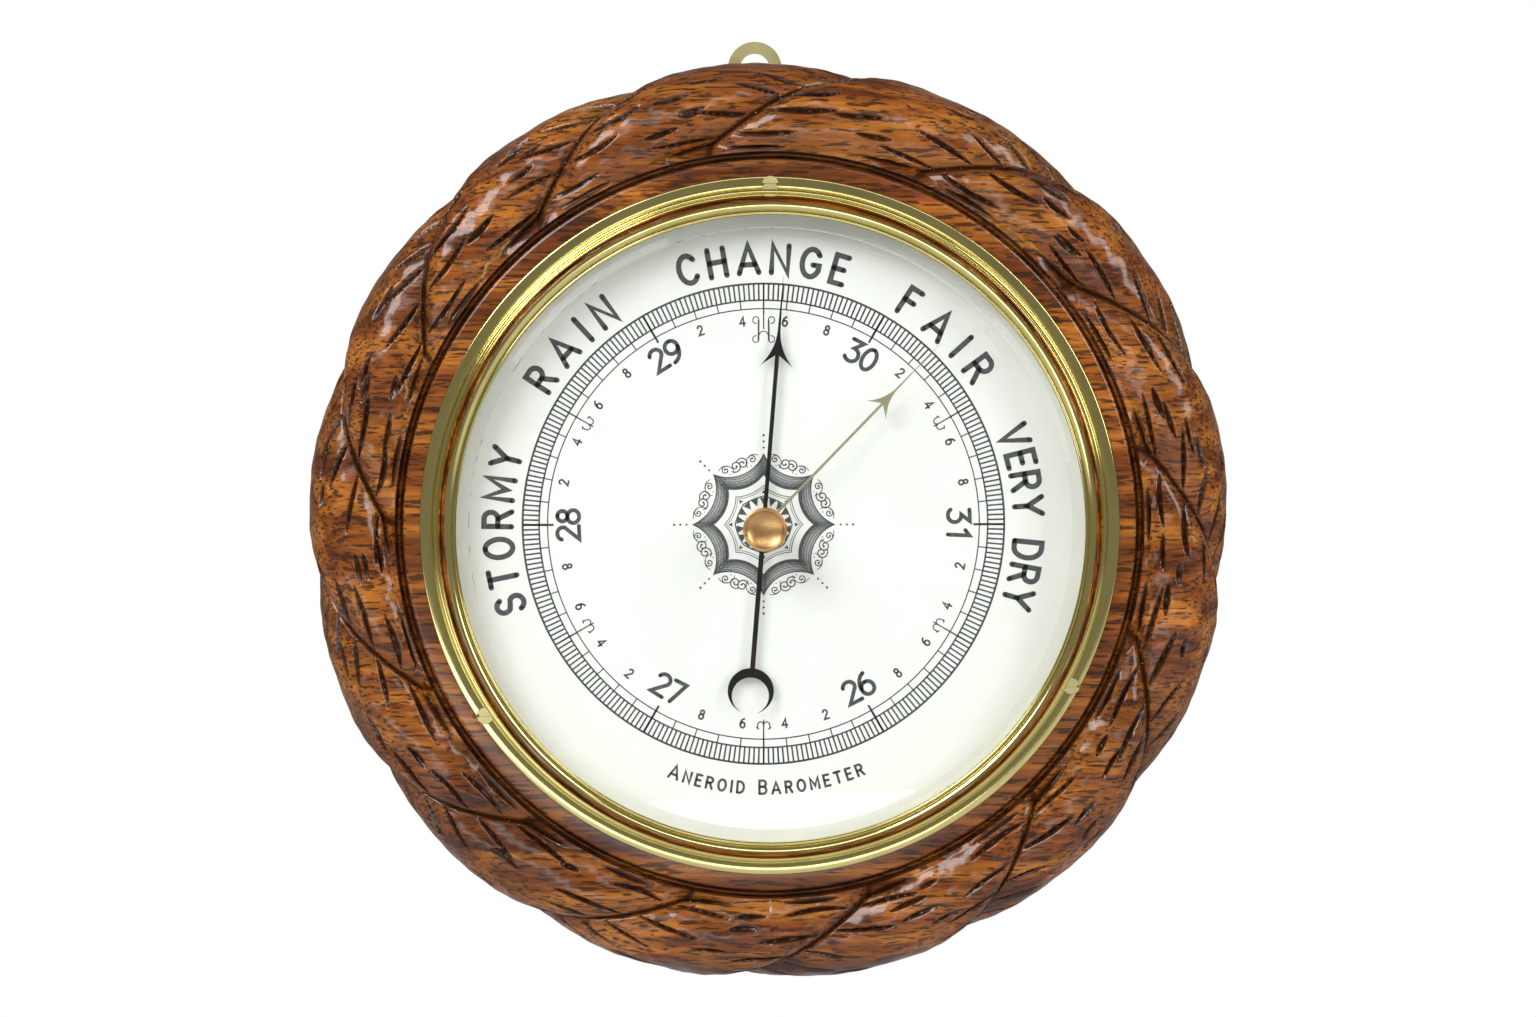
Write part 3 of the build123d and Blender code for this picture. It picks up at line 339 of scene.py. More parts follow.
def brass_finish(name, colour, tarnish, roughness, lines=3200.0, line_height=0.000004, spots=0.35):
    """Brass: its own colour, brown bloom in soft patches, fine turned lines and small marks."""
    brass = Finish(name, colour, roughness, 1.0)
    bloom = brass.noise((60, 60, 60), detail=5)
    marks = brass.noise((900, 900, 900), detail=3)
    tone = brass.mix(brass.ramp(bloom, (0.42, 0.0), (0.75, spots)), colour, tarnish)
    tone = brass.mix(brass.ramp(marks, (0.6, 0.0), (0.78, spots)), tone, tarnish)
    rings = brass.maths("SINE", brass.maths("MULTIPLY", brass.radius(), lines * math.tau))
    turned = brass.ramp(rings, (0.0, 0.0), (1.0, 1.0))
    relief = brass.mix(0.6, turned, brass.ramp(marks, (0.3, 0.0), (0.7, 1.0)))
    brass.set(
        Base_Color=tone,
        Roughness=brass.ramp(bloom, (0.3, roughness * 0.75), (0.75, roughness * 1.6)),
        Normal=brass.bump(relief, line_height, 0.35),
    )
    return brass.material


def steel_finish(name, colour, edge, roughness):
    """Steel: faint clouding, fine scratches and worn patches that show a second colour."""
    steel = Finish(name, colour, roughness, 1.0)
    cloud = steel.noise((180, 180, 180), detail=4)
    scratch = steel.noise((3000, 400, 400), detail=2)
    tone = steel.mix(steel.ramp(cloud, (0.5, 0.0), (0.78, 0.6)), colour, edge)
    steel.set(
        Base_Color=tone,
        Roughness=steel.ramp(scratch, (0.3, roughness * 0.8), (0.7, roughness * 1.4)),
        Normal=steel.bump(scratch, 0.000006, 0.5),
    )
    return steel.material


def dial_finish():
    """A white glazed dial with a faint green cast, almost even, with a soft gloss."""
    dial = Finish("dial_white", (0.80, 0.805, 0.785), 0.28, Coat_Weight=0.3, Coat_Roughness=0.08)
    cloud = dial.noise((40, 40, 40), detail=3)
    specks = dial.noise((1500, 1500, 1500), detail=1)
    tone = dial.mix(dial.ramp(cloud, (0.35, 0.0), (0.7, 1.0)), (0.80, 0.805, 0.785), (0.77, 0.78, 0.755))
    tone = dial.mix(dial.ramp(specks, (0.76, 0.0), (0.84, 0.25)), tone, (0.45, 0.46, 0.42))
    dial.set(Base_Color=tone, Normal=dial.bump(cloud, 0.00002, 0.3))
    return dial.material


def ink_finish():
    """Dark grey fired ink, a little uneven."""
    ink = Finish("dial_ink", (0.035, 0.042, 0.045), 0.45)
    cover = ink.noise((1800, 1800, 1800), detail=2)
    ink.set(
        Base_Color=ink.ramp(cover, (0.35, (0.03, 0.036, 0.04)), (0.7, (0.075, 0.085, 0.09))),
        Normal=ink.bump(cover, 0.000005, 0.4),
    )
    return ink.material


def glass_finish(name, colour, index=1.5):
    """Clear glass of a refractive index, which lets light through to the dial without darkening it."""
    glass = Finish(name, colour, 0.0, IOR=index, Transmission_Weight=1.0)
    wave = glass.noise((25, 25, 25), detail=1)
    dust = glass.noise((700, 700, 700), detail=2)
    glass.set(
        Roughness=glass.ramp(dust, (0.55, 0.0), (0.85, 0.04)),
        Normal=glass.bump(wave, 0.00002, 0.15),
    )
    path = glass.tree.nodes.new("ShaderNodeLightPath")
    clear = glass.node("ShaderNodeBsdfTransparent", Color=(0.97, 0.985, 0.975, 1))
    choice = glass.tree.nodes.new("ShaderNodeMixShader")
    glass.feed(choice.inputs[0], path.outputs["Is Shadow Ray"])
    glass.feed(choice.inputs[1], glass.shader.outputs["BSDF"])
    glass.feed(choice.inputs[2], clear.outputs["BSDF"])
    glass.feed(glass.tree.nodes["Material Output"].inputs["Surface"], choice.outputs["Shader"])
    return glass.material


def iron_finish():
    """Blackened cast iron with a fine sandy skin."""
    iron = Finish("dark_iron", (0.05, 0.05, 0.052), 0.6, 0.6)
    sand = iron.noise((1400, 1400, 1400), detail=4)
    iron.set(
        Base_Color=iron.ramp(sand, (0.35, (0.03, 0.03, 0.032)), (0.75, (0.09, 0.085, 0.08))),
        Roughness=iron.ramp(sand, (0.3, 0.5), (0.7, 0.75)),
        Normal=iron.bump(sand, 0.00008, 0.6),
    )
    return iron.material


def leather_finish():
    """Plain brown leather with a pebbled grain."""
    leather = Finish("leather", (0.16, 0.07, 0.03), 0.7)
    grain = leather.noise((1600, 1600, 1600), detail=3)
    leather.set(
        Base_Color=leather.ramp(grain, (0.35, (0.11, 0.045, 0.02)), (0.7, (0.22, 0.1, 0.045))),
        Normal=leather.bump(grain, 0.00012, 0.6),
    )
    return leather.material


finishes = {
    "oak": oak_finish(),
    "polished_brass": brass_finish("polished_brass", (0.88, 0.78, 0.33), (0.42, 0.33, 0.08), 0.085),
    "spun_brass": brass_finish("spun_brass", (0.6, 0.44, 0.17), (0.3, 0.19, 0.07), 0.34, 1400.0, 0.00002),
    "movement_brass": brass_finish("movement_brass", (0.72, 0.54, 0.24), (0.4, 0.27, 0.1), 0.28),
    "worn_brass": brass_finish("worn_brass", (0.87, 0.79, 0.4), (0.6, 0.5, 0.2), 0.4),
    "gilt_knob": brass_finish("gilt_knob", (0.76, 0.45, 0.19), (0.26, 0.13, 0.06), 0.3, spots=0.9),
    "brass_hand": brass_finish("brass_hand", (0.5, 0.46, 0.3), (0.2, 0.17, 0.1), 0.38, spots=0.7),
    "nickel_silver": brass_finish("nickel_silver", (0.6, 0.58, 0.52), (0.36, 0.33, 0.27), 0.3),
    "blued_steel": steel_finish("blued_steel", (0.016, 0.013, 0.013), (0.05, 0.034, 0.03), 0.42),
    "spring_steel": steel_finish("spring_steel", (0.3, 0.31, 0.33), (0.16, 0.13, 0.1), 0.3),
    "bright_steel": steel_finish("bright_steel", (0.5, 0.5, 0.51), (0.3, 0.28, 0.25), 0.26),
    "dark_iron": iron_finish(),
    "dial_white": dial_finish(),
    "plate_glass": glass_finish("plate_glass", (0.985, 1.0, 0.99)),
    "leather": leather_finish(),
}
ink = ink_finish()
# the bevel mirrors less than the plate, which keeps a bright streak off the dial's edge; its grey tint is
# painted shade, a darker band seen through the bevel
bevel_glass_painted_shade = glass_finish("bevel_glass_painted_shade", (0.83, 0.84, 0.81), 1.25)

# polished pieces whose faces have dulled with handling
worn = {"hanging_plate": "worn_brass", "bezel_screws": "worn_brass"}


def finish_nodes():
    """Every CAD node gets the finish of its slot in the record."""
    for part in frame["record"]["subparts"]:
        data = frame["nodes"][part["node"]].data
        data.materials.clear()
        data.materials.append(finishes[worn.get(part["node"], part["material_slot"])])


# ---- carved surround -------------------------------------------------------------------
bore_radius = 80.9
rebate_depth = 1.0
case_clearance = 0.3
fillet_outer = 89.0
edge_round = 0.4
quirk_outer = 91.0
quirk_floor = fillet_depth - 3.2
back_radius = 101.0
# painted shade: how much the quirk between the fillet and the rope is darkened, as if in shadow
quirk_painted_shade = 0.17
back_stain = 0.1
rope_half_width = 13.5
rope_centre = crest_radius - rope_half_width
rope_depth = wood_front - rope_half_width

# where a valley between two strands meets the widest part of the rope, and how it winds from there
valleys = (12, 44, 72, 99.5, 128, 157, 186, 213.5, 240, 266, 292, 317.5, 344)
valley_twist = 0.17
# a strand starts steeply at one valley and sinks slowly into the next
valley_depth = 3.0
steep_side = 6.0
slow_side = 15.0
seam_depth = 0.8
seam_half_width = 0.85

# gouge cuts that meet a valley from each side: (section angle at the valley, reach round the rope,
# how far the section angle falls from the inner end to the outer end)
gouges_before = (
    (111, 9.3, 8), (83, 8.4, 8), (59, 7, 11), (41, 6.5, 14), (23, 6.5, 14), (5, 6, 12), (-13, 6, 10),
)
gouges_after = ((108, 10, 2), (81, 9.5, 4), (59, 8, 4), (41, 6, 9), (23, 6, 9), (5, 6, 9), (-13, 6, 9))
# gouge cuts along the rope's inner foot: (start and end, clockwise of the valley, section angle)
gouges_inside = ((-29, -20.5, 121), (-17, -8, 122.5))
# short cuts left here and there on each strand
loose_gouges = 5
gouge_half_width = 0.9
gouge_depth = 1.4
# how far a gouge strays round the section, and the shares of its reach that it may have
section_stray = 2.5
reach_share = (0.85, 1.15)
# the waviness left by hand work, and the skin given up to keep it within the turned shape
waviness = 0.12
skin = 0.15
# the circle that the rope is unrolled along, as a share of its crest's radius
unrolled = 0.94

around_steps = 2100
section_step = 1.45
# the carving starts over these degrees of the section, so that the rope's inner foot stays round
fade_in = 4
section_first = math.degrees(math.acos((quirk_outer - rope_centre) / rope_half_width))
section_last = -math.degrees(math.acos((back_radius - rope_centre) / rope_half_width))


def on_rope(angles, sections):
    """Clockwise angles and section angles as distances in millimetres over the unrolled rope."""
    return np.radians(angles) * crest_radius * unrolled, np.radians(sections) * rope_half_width


def gouge(angles, sections, start, end, half_width, sag):
    """How deep, from 0 to 1, a pointed cut between two places on the rope is at every point."""
    x, y = on_rope(angles, sections)
    (x0, y0), (x1, y1) = on_rope(*start), on_rope(*end)
    length = math.hypot(x1 - x0, y1 - y0)
    ux, uy = (x1 - x0) / length, (y1 - y0) / length
    along = ((x - x0) * ux + (y - y0) * uy) / length
    inside = np.clip(along, 0, 1)
    across = (x - x0) * -uy + (y - y0) * ux - sag * np.sin(math.pi * inside)
    width = half_width * np.sqrt(np.clip(np.sin(math.pi * inside), 0, 1)) + 1e-6
    return np.clip(1 - np.abs(across) / width, 0, 1) * (width / half_width) * (along > 0) * (along < 1)


def carve(angles, sections):
    """How deep the rope is cut away at every point, in millimetres, and how much darker it is made:
    darker in the gouges and seams, and painted shade on the slopes into each valley.
    """
    winding = (angles + valley_twist * sections - valleys[0]) % 360
    edges = np.array([*valleys, valleys[0] + 360]) - valleys[0]
    strand = np.clip(np.searchsorted(edges, winding, side="right") - 1, 0, len(valleys) - 1)
    after, before = winding - edges[strand], edges[strand + 1] - winding
    rise = np.clip(1 - after / steep_side, 0, 1) ** 2
    fall = np.clip(1 - before / slow_side, 0, 1) ** 2
    # a valley runs aslant, so the distance across it is less than the distance round the ring
    slant = math.sin(math.atan2(rope_half_width, valley_twist * crest_radius))
    beside = np.minimum(after, before) * math.radians(crest_radius) * unrolled * slant
    seam = np.clip(1 - beside / seam_half_width, 0, 1)
    cuts = np.zeros_like(winding)
    rng = np.random.default_rng(7)
    for valley in valleys:
        for section, reach, drop in gouges_before:
            section += rng.uniform(-section_stray, section_stray)
            near = (valley - valley_twist * section - 0.4, section)
            far = (near[0] - reach * rng.uniform(*reach_share), section - drop)
            add_gouge(cuts, angles, sections, far, near, rng, rng.uniform(-0.3, 0.5))
        for section, reach, drop in gouges_after:
            section += rng.uniform(-section_stray, section_stray)
            near = (valley - valley_twist * section + 0.6, section)
            far = (near[0] + reach * rng.uniform(*reach_share), section - drop)
            add_gouge(cuts, angles, sections, near, far, rng, rng.uniform(0.5, 1.1))
        for _ in range(loose_gouges):
            section = rng.uniform(15, 112)
            start = valley - valley_twist * section + rng.uniform(7, 17)
            far = (start + rng.uniform(3, 6), section - 3)
            add_gouge(cuts, angles, sections, (start, section), far, rng, 0.3)
        for start, end, section in gouges_inside:
            shift = rng.uniform(-1.5, 1.5)
            near = (valley + start + shift, section)
            far = (valley + end + shift, section)
            add_gouge(cuts, angles, sections, near, far, rng, 0)
    x, y = on_rope(angles, sections)
    wobble = waviness * np.sin(0.31 * x + 0.5 * y + 1.0) + waviness / 2 * np.sin(0.83 * x - 0.7 * y)
    wobble += waviness / 10 * np.sin(1.9 * x + y)
    body = valley_depth * np.maximum(rise, fall)
    # darker in the gouges and along the seams, and painted shade on the slopes into each valley
    stain_and_shade = np.maximum(np.maximum(cuts, 0.6 * seam), 0.16 * np.maximum(rise, fall) ** 2)
    return body + seam_depth * seam + gouge_depth * cuts + wobble + skin, stain_and_shade


def add_gouge(cuts, angles, sections, start, end, rng, sag):
    """Cuts one gouge, looking only at the columns of points near it."""
    half_width = gouge_half_width * rng.uniform(0.8, 1.2)
    strength = rng.uniform(0.75, 1.1)
    middle = (start[0] + end[0]) / 2
    away = (angles[:, 0] - middle + 180) % 360 - 180
    near = np.abs(away) < abs(end[0] - start[0])
    local = middle + away[near][:, None] + 0 * angles[near]
    depth = strength * gouge(local, sections[near], start, end, half_width, sag)
    cuts[near] = np.maximum(cuts[near], depth)


def recess_sides(radius):
    """The clockwise angles of the hanger recess's two straight sides at a radius."""
    sides = np.array([plate_left - case_clearance, plate_right + case_clearance])
    return np.degrees(np.arcsin(sides / radius))


def recess_columns(angles, radius):
    """Columns drawn together, so that two of them run along the straight sides of the recess."""
    foot = recess_sides(plate_foot)
    here = recess_sides(radius)
    spread = 4 * (foot[1] - foot[0])
    known = [-180, foot[0] - spread, *foot, foot[1] + spread, 180]
    moved = [-180, foot[0] - spread, *here, foot[1] + spread, 180]
    return np.interp(angles, known, moved)


def carved_surround():
    """The oak ring: a turned body with a quirk and a flat fillet, and a rope carved round it."""
    sides = recess_sides(plate_foot)
    sliver = 0.01
    angles = np.linspace(-180, 180, around_steps, endpoint=False)
    angles = np.sort(np.concatenate((angles, sides - sliver, sides + sliver)))
    in_recess = (angles > sides[0]) & (angles < sides[1])

    sections = np.arange(section_first, section_last, -section_step)
    bead_foot = quirk_floor + 0.1
    front = [
        (bore_radius, fillet_depth - rebate_depth),
        (case_flange_radius + case_clearance, fillet_depth - rebate_depth),
        (case_flange_radius + case_clearance, fillet_depth),
        (fillet_outer - 2 * edge_round, fillet_depth),
        (fillet_outer - edge_round, fillet_depth - 0.1),
        (fillet_outer, fillet_depth - edge_round),
        (fillet_outer + 0.1, quirk_floor + edge_round),
        (fillet_outer + edge_round, quirk_floor),
        *arc(
            (fillet_outer + 0.7, bead_foot),
            (fillet_outer + 1.1, bead_foot + 0.9),
            (fillet_outer + 1.5, bead_foot),
            6,
        ),
        (quirk_outer - 0.1, quirk_floor),
    ]
    recess = plate_front + 0.02
    back = [
        (back_radius, recess),
        (back_radius, edge_round),
        (back_radius - edge_round, 0.0),
        (plate_foot - case_clearance, 0.0),
        (plate_foot - 2 * case_clearance, 0.0),
        (bore_radius, 0.0),
    ]
    radii, depths, stains_and_shade = [], [], []
    rope_angles, rope_sections = np.meshgrid(angles, sections, indexing="ij")
    cut_depth, stain_and_shade = carve(rope_angles, rope_sections)
    fade = np.clip((section_first - rope_sections) / fade_in, 0, 1)
    reach = rope_half_width - cut_depth * fade
    rope_radii = rope_centre + reach * np.cos(np.radians(rope_sections))
    rope_depths = rope_depth + reach * np.sin(np.radians(rope_sections))

    columns = np.ones((len(angles), 1))
    front_radii, front_depths = np.array(front).T
    back_radii, back_depths = np.array(back).T
    radii = np.hstack((columns * front_radii, rope_radii, columns * back_radii))
    depths = np.hstack((columns * front_depths, rope_depths, columns * back_depths))
    # painted shade over the quirk, from the fillet's outer edge to the rope
    quirk = (front_radii > fillet_outer - edge_round / 2) * quirk_painted_shade
    stains_and_shade = np.hstack((columns * quirk, stain_and_shade, back_stain * columns * np.ones_like(back_radii)))

    turn = np.repeat(angles[:, None], radii.shape[1], 1)
    first_back = len(front) + len(sections)
    for row in range(first_back, first_back + len(back) - 2):
        turn[:, row] = recess_columns(angles, radii[0, row])
        depths[in_recess, row] = recess
    x = radii * np.sin(np.radians(turn))
    z = radii * np.cos(np.radians(turn))
    points = np.stack((x, depths, z), -1).reshape(-1, 3)
    faces = grid_faces(len(angles), radii.shape[1], close_rows=True, close_columns=True)
    piece = new_piece("carved_oak", points, faces, "root", finishes["oak"], sharp=50)
    shade = piece.data.attributes.new("stain_and_shade", "FLOAT", "POINT")
    shade.data.foreach_set("value", stains_and_shade.reshape(-1).astype(np.float32))
    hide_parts("carved_surround")


# ---- bezel -----------------------------------------------------------------------------
flange_thickness = 1.2
flange_front = fillet_depth + flange_thickness
flange_inner = bezel_radius - 4.0
bead_top = flange_front + 0.9
opening_radius = 75.8
moulding_crest = opening_radius + 2.7
moulding_middle = (80.0, 35.3)
lip_front = glass_front + 0.4
bezel_bore = 79.2
screw_radius = 83.0
screw_angles = (0.0, 118.0, 236.5)
screw_head = 2.0
bevel_width = 4.9
bevel_drop = 2.2


def bevel_depth(radius):
    """The depth of the glass's sloping front near its edge."""
    return glass_front - bevel_drop * (radius - glass_radius + bevel_width) / bevel_width


def bezel():
    """The turned brass bezel: a flat flange, a bead, a broad convex moulding and a hollow lip."""
    groove = flange_inner + 1.0
    flange = [
        *arc(
            (bezel_radius, flange_front - 0.5),
            (bezel_radius - 0.12, flange_front - 0.18),
            (bezel_radius - 0.4, flange_front - 0.04),
            5,
        ),
        *arc(
            (bezel_radius - 0.5, flange_front - 0.03),
            ((bezel_radius + groove) / 2, flange_front + 0.06),
            (groove, flange_front - 0.08),
            12,
        ),
    ]
    bead = arc(
        (groove - 0.15, flange_front - 0.2),
        (groove - 0.45, bead_top - 0.1),
        (flange_inner - 0.25, bead_top),
        8,
    )
    waist = (flange_inner - 0.45, bead_top - 0.15)
    moulding = arc(waist, moulding_middle, (moulding_crest - 0.3, bezel_top), 24)
    step = (opening_radius + 0.95, lip_front + 0.05)
    roll = arc((moulding_crest - 0.3, bezel_top), (moulding_crest - 1.0, bezel_top - 0.2), step, 10)
    lip = arc(
        (step[0] - 0.12, step[1] - 0.12),
        (opening_radius + 0.35, lip_front + 0.1),
        (opening_radius, lip_front - 0.4),
        8,
    )
    outline = [
        (bezel_bore, fillet_depth),
        (bezel_radius, fillet_depth),
        *flange,
        *bead,
        *moulding,
        *roll[1:],
        *lip,
        (opening_radius, bevel_depth(opening_radius) + 0.1),
        (glass_radius + 0.1, bevel_depth(glass_radius + 0.1) + 0.1),
        (glass_radius + 0.1, glass_back - 0.8),
        (bezel_bore, glass_back - 0.8),
    ]
    brass = finishes["polished_brass"]
    piece = lathe("turned_bezel", outline, (0, 0), "root", brass, 512)
    mouth = screw_head + 0.1
    hole = [
        (0, flange_front - screw_head),
        (0.05, flange_front - screw_head),
        (mouth, flange_front),
        (mouth, flange_front + 0.2),
        (0, flange_front + 0.2),
    ]
    for angle in screw_angles:
        centre = polar(screw_radius, angle)
        cut(piece, lathe("screw_hole", hole, centre, "root", brass, 32))
    piece.data.set_sharp_from_angle(angle=math.radians(30))
    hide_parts("bezel")


def glass():
    """The bevelled plate glass, with the hole for the set hand's bush a little off its middle."""
    hole = bush_hole - 1.4
    arris = glass_radius - bevel_width
    outline = [
        (hole, glass_back),
        (glass_radius, glass_back),
        (glass_radius, bevel_depth(glass_radius)),
        (arris + 0.12, glass_front - 0.16),
        (arris, glass_front),
        (hole, glass_front),
    ]
    clear = finishes["plate_glass"]
    piece = lathe("plate_glass_disc", outline, (0, 0), "root", clear, 512, 10)
    piece.data.materials.append(bevel_glass_painted_shade)
    for face in piece.data.polygons:
        middle = math.hypot(face.center.x, face.center.z) / MM
        faces_forward = face.normal.y < -0.1
        face.material_index = int(faces_forward and arris < middle < glass_radius - 0.01)
    # only the hole moves to the hands' axis, and the disc stays where it is
    for point in piece.data.vertices:
        if math.hypot(point.co.x, point.co.z) < 2 * hole * MM:
            point.co.x += arbor[0] * MM
            point.co.z += arbor[1] * MM
    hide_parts("bevelled_glass")


def knob():
    """The set hand's knob: a waisted stem that opens into a polished dish with a rolled edge."""
    foot = knob_foot + 0.6
    foot_radius = 3.3
    edge = knob_radius - 0.45
    rim = (knob_radius, knob_top - 0.45)
    outline = [
        (0, knob_foot),
        (foot_radius, knob_foot),
        (foot_radius, foot),
        *arc((foot_radius, foot), (foot_radius - 0.2, (foot + knob_top) / 2), rim, 10)[1:],
        *arc(rim, (knob_radius - 0.1, knob_top - 0.1), (edge, knob_top), 5)[1:],
        *arc((edge - 0.15, knob_top), (edge - 0.38, knob_top - 0.12), (edge - 0.45, knob_top - 0.8), 5),
        *arc((edge - 0.5, knob_top - 0.9), (2.4, knob_top - 1.6), (0, knob_top - 1.85), 14),
    ]
    piece = lathe("dished_knob", outline, arbor, "set_hand", finishes["gilt_knob"], 160)
    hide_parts("set_hand_knob")


# ---- printing on the dial --------------------------------------------------------------
def bow(x, y, across, up, start, end, steps=14):
    """Points along an ellipse round (x, y), from one clockwise angle to another."""
    turns = [math.radians(start + (end - start) * step / steps) for step in range(steps + 1)]
    return [(x + across * math.sin(turn), y + up * math.cos(turn)) for turn in turns]


# each letter and figure as its width and its pen strokes, for a height of one
glyphs = {
    "A": (0.70, [[(0, 0), (0.35, 1), (0.7, 0)], [(0.12, 0.3), (0.58, 0.3)]]),
    "B": (0.52, [
        [(0, 0), (0, 1), *bow(0.27, 0.765, 0.21, 0.235, 0, 180), (0, 0.53)],
        [(0.27, 0.53), *bow(0.27, 0.265, 0.25, 0.265, 0, 180), (0, 0)],
    ]),
    "C": (0.60, [bow(0.33, 0.5, 0.33, 0.5, 52, -232)]),
    "D": (0.58, [[(0, 0), (0, 1), *bow(0.22, 0.5, 0.36, 0.5, 0, 180), (0, 0)]]),
    "E": (0.45, [[(0.45, 1), (0, 1), (0, 0), (0.45, 0)], [(0, 0.52), (0.38, 0.52)]]),
    "F": (0.45, [[(0.45, 1), (0, 1), (0, 0)], [(0, 0.52), (0.38, 0.52)]]),
    "G": (0.64, [[*bow(0.33, 0.5, 0.33, 0.5, 52, -240), (0.62, 0.44), (0.4, 0.44)]]),
    "H": (0.56, [[(0, 0), (0, 1)], [(0.56, 0), (0.56, 1)], [(0, 0.52), (0.56, 0.52)]]),
    "I": (0.0, [[(0, 0), (0, 1)]]),
    "M": (0.72, [[(0, 0), (0, 1), (0.36, 0.25), (0.72, 1), (0.72, 0)]]),
    "N": (0.58, [[(0, 0), (0, 1), (0.58, 0), (0.58, 1)]]),
    "O": (0.66, [bow(0.33, 0.5, 0.33, 0.5, 0, 360, 24)]),
    "R": (0.54, [
        [(0, 0), (0, 1), *bow(0.28, 0.75, 0.23, 0.25, 0, 180), (0, 0.5)],
        [(0.28, 0.5), (0.54, 0)],
    ]),
    "S": (0.52, [[*bow(0.26, 0.745, 0.24, 0.255, 68, -138), *bow(0.26, 0.26, 0.26, 0.26, 42, 248)]]),
    "T": (0.56, [[(0, 1), (0.56, 1)], [(0.28, 1), (0.28, 0)]]),
    "V": (0.64, [[(0, 1), (0.32, 0), (0.64, 1)]]),
    "Y": (0.62, [[(0, 1), (0.31, 0.48), (0.62, 1)], [(0.31, 0.48), (0.31, 0)]]),
    "0": (0.50, [bow(0.25, 0.5, 0.25, 0.5, 0, 360, 24)]),
    "1": (0.22, [[(0, 0.8), (0.2, 1), (0.2, 0)]]),
    "2": (0.50, [[*bow(0.25, 0.74, 0.24, 0.26, -75, 115), (0, 0), (0.52, 0)]]),
    "3": (0.50, [[(0.03, 1), (0.48, 1), (0.21, 0.62), *bow(0.22, 0.31, 0.27, 0.31, 5, 235)]]),
    "4": (0.52, [[(0.4, 0), (0.4, 1), (0, 0.3), (0.56, 0.3)]]),
    "6": (0.50, [bow(0.25, 0.3, 0.25, 0.3, 0, 360, 24), bow(0.44, 0.34, 0.44, 0.66, -90, -8)]),
    "7": (0.46, [[(0, 1), (0.48, 1), (0.16, 0)]]),
    "8": (0.50, [bow(0.25, 0.27, 0.25, 0.27, 0, 360, 24), bow(0.25, 0.77, 0.2, 0.23, 0, 360, 24)]),
    "9": (0.50, [bow(0.25, 0.7, 0.25, 0.3, 0, 360, 24), bow(0.06, 0.66, 0.44, 0.66, 90, 172)]),
}


class Print:
    """Flat ink on the dial, gathered as strips and spots round the hands' axis."""

    def __init__(self, depth):
        self.depth = depth
        self.points = []
        self.faces = []

    def patch(self, outline):
        """One filled shape."""
        first = len(self.points)
        self.points += [(x, self.depth, z) for x, z in outline]
        self.faces.append(range(first, first + len(outline)))

    def spot(self, centre, radius, sides=10):
        self.patch([polar(radius, 360 * side / sides, centre) for side in range(sides)])

    def strip(self, line, width):
        """A pen stroke along a line of points, with mitred corners and round ends."""
        line = np.array(line, float)
        step = np.diff(line, axis=0)
        step /= np.linalg.norm(step, axis=1)[:, None]
        normal = np.column_stack((-step[:, 1], step[:, 0]))
        corner = np.vstack((normal[:1], normal[:-1] + normal[1:], normal[-1:]))
        corner /= np.linalg.norm(corner, axis=1)[:, None] + 1e-9
        lean = np.clip((corner * np.vstack((normal[:1], normal))).sum(1), 0.45, 1)
        side = corner / lean[:, None] * width / 2
        first = len(self.points)
        for left, right in zip(line + side, line - side):
            self.points += [(left[0], self.depth, left[1]), (right[0], self.depth, right[1])]
        for index in range(first, first + 2 * len(line) - 2, 2):
            self.faces.append((index, index + 2, index + 3, index + 1))
        self.spot(line[0], width / 2)
        self.spot(line[-1], width / 2)

    def ring(self, radius, width, steps=360):
        self.strip([polar(radius, 360 * step / steps, arbor) for step in range(steps + 1)], width)

    def spoke(self, angle, inner, outer, width):
        """A straight tick, without round ends, so that it keeps its length."""
        across = math.degrees(width / 2 / outer)
        taper = outer / inner
        corners = ((inner, -across * taper), (outer, -across), (outer, across), (inner, across * taper))
        self.patch([polar(radius, angle + turn, arbor) for radius, turn in corners])

    def glyph(self, character, angle, middle, height, pen, upside, spread=1.0):
        """One character centred at an angle and a radius; its top faces inwards if upside is -1."""
        width, strokes = glyphs[character]
        across = polar(1, angle + 90)
        outwards = polar(1, angle)
        for stroke in strokes:
            line = []
            for x, y in stroke:
                right = upside * (x - width / 2) * height * spread
                up = middle + upside * (y - 0.5) * height
                line.append((arbor[0] + right * across[0] + up * outwards[0],
                             arbor[1] + right * across[1] + up * outwards[1]))
            self.strip(line, pen)

    def word(self, text, first, last, middle, heights, pen, upside=1):
        """Text spread evenly between two angles; heights gives each character's height in turn."""
        turn = math.degrees(1 / middle)
        widths = [0.35 * h if c == " " else glyphs[c][0] * h for c, h in zip(text, heights)]
        gap = (abs(last - first) / turn - pen - sum(widths)) / (len(text) - 1)
        baseline = middle - upside * max(heights) / 2
        place = pen / 2
        for character, width, height in zip(text, widths, heights):
            angle = first + upside * turn * (place + width / 2)
            if character != " ":
                self.glyph(character, angle, baseline + upside * height / 2, height, pen, upside)
            place += width + gap


scale_outer = 58.4
scale_hatch = 54.4
scale_inner = 52.35
inch_tick = 50.9
figure_middle = 47.4
figure_height = 5.3
figure_spread = 1.18
figure_pen = 0.98
flipped_inwards = 1.3
small_middle = 49.5
small_height = 2.2
word_middle = 64.4
word_height = 6.7
title_middle = 64.1
title_heights = (3.2, 2.7)
inch_turn = 60.0
ink_lift = 0.03

# the rosette: the widths of its band's lines from the outside in, which shade it; and the stars within
# the band, each as its tips' radius, its hollows' radius and its line's width
rosette_points = 8
band_lines = (0.3, 0.17, 0.24, 0.14, 0.26, 0.16, 0.28, 0.2, 0.3, 0.3, 0.34)
inner_stars = ((9.5, 8.1, 0.2), (8.9, 7.6, 0.14), (6.9, 6.6, 0.3))
petals = 18


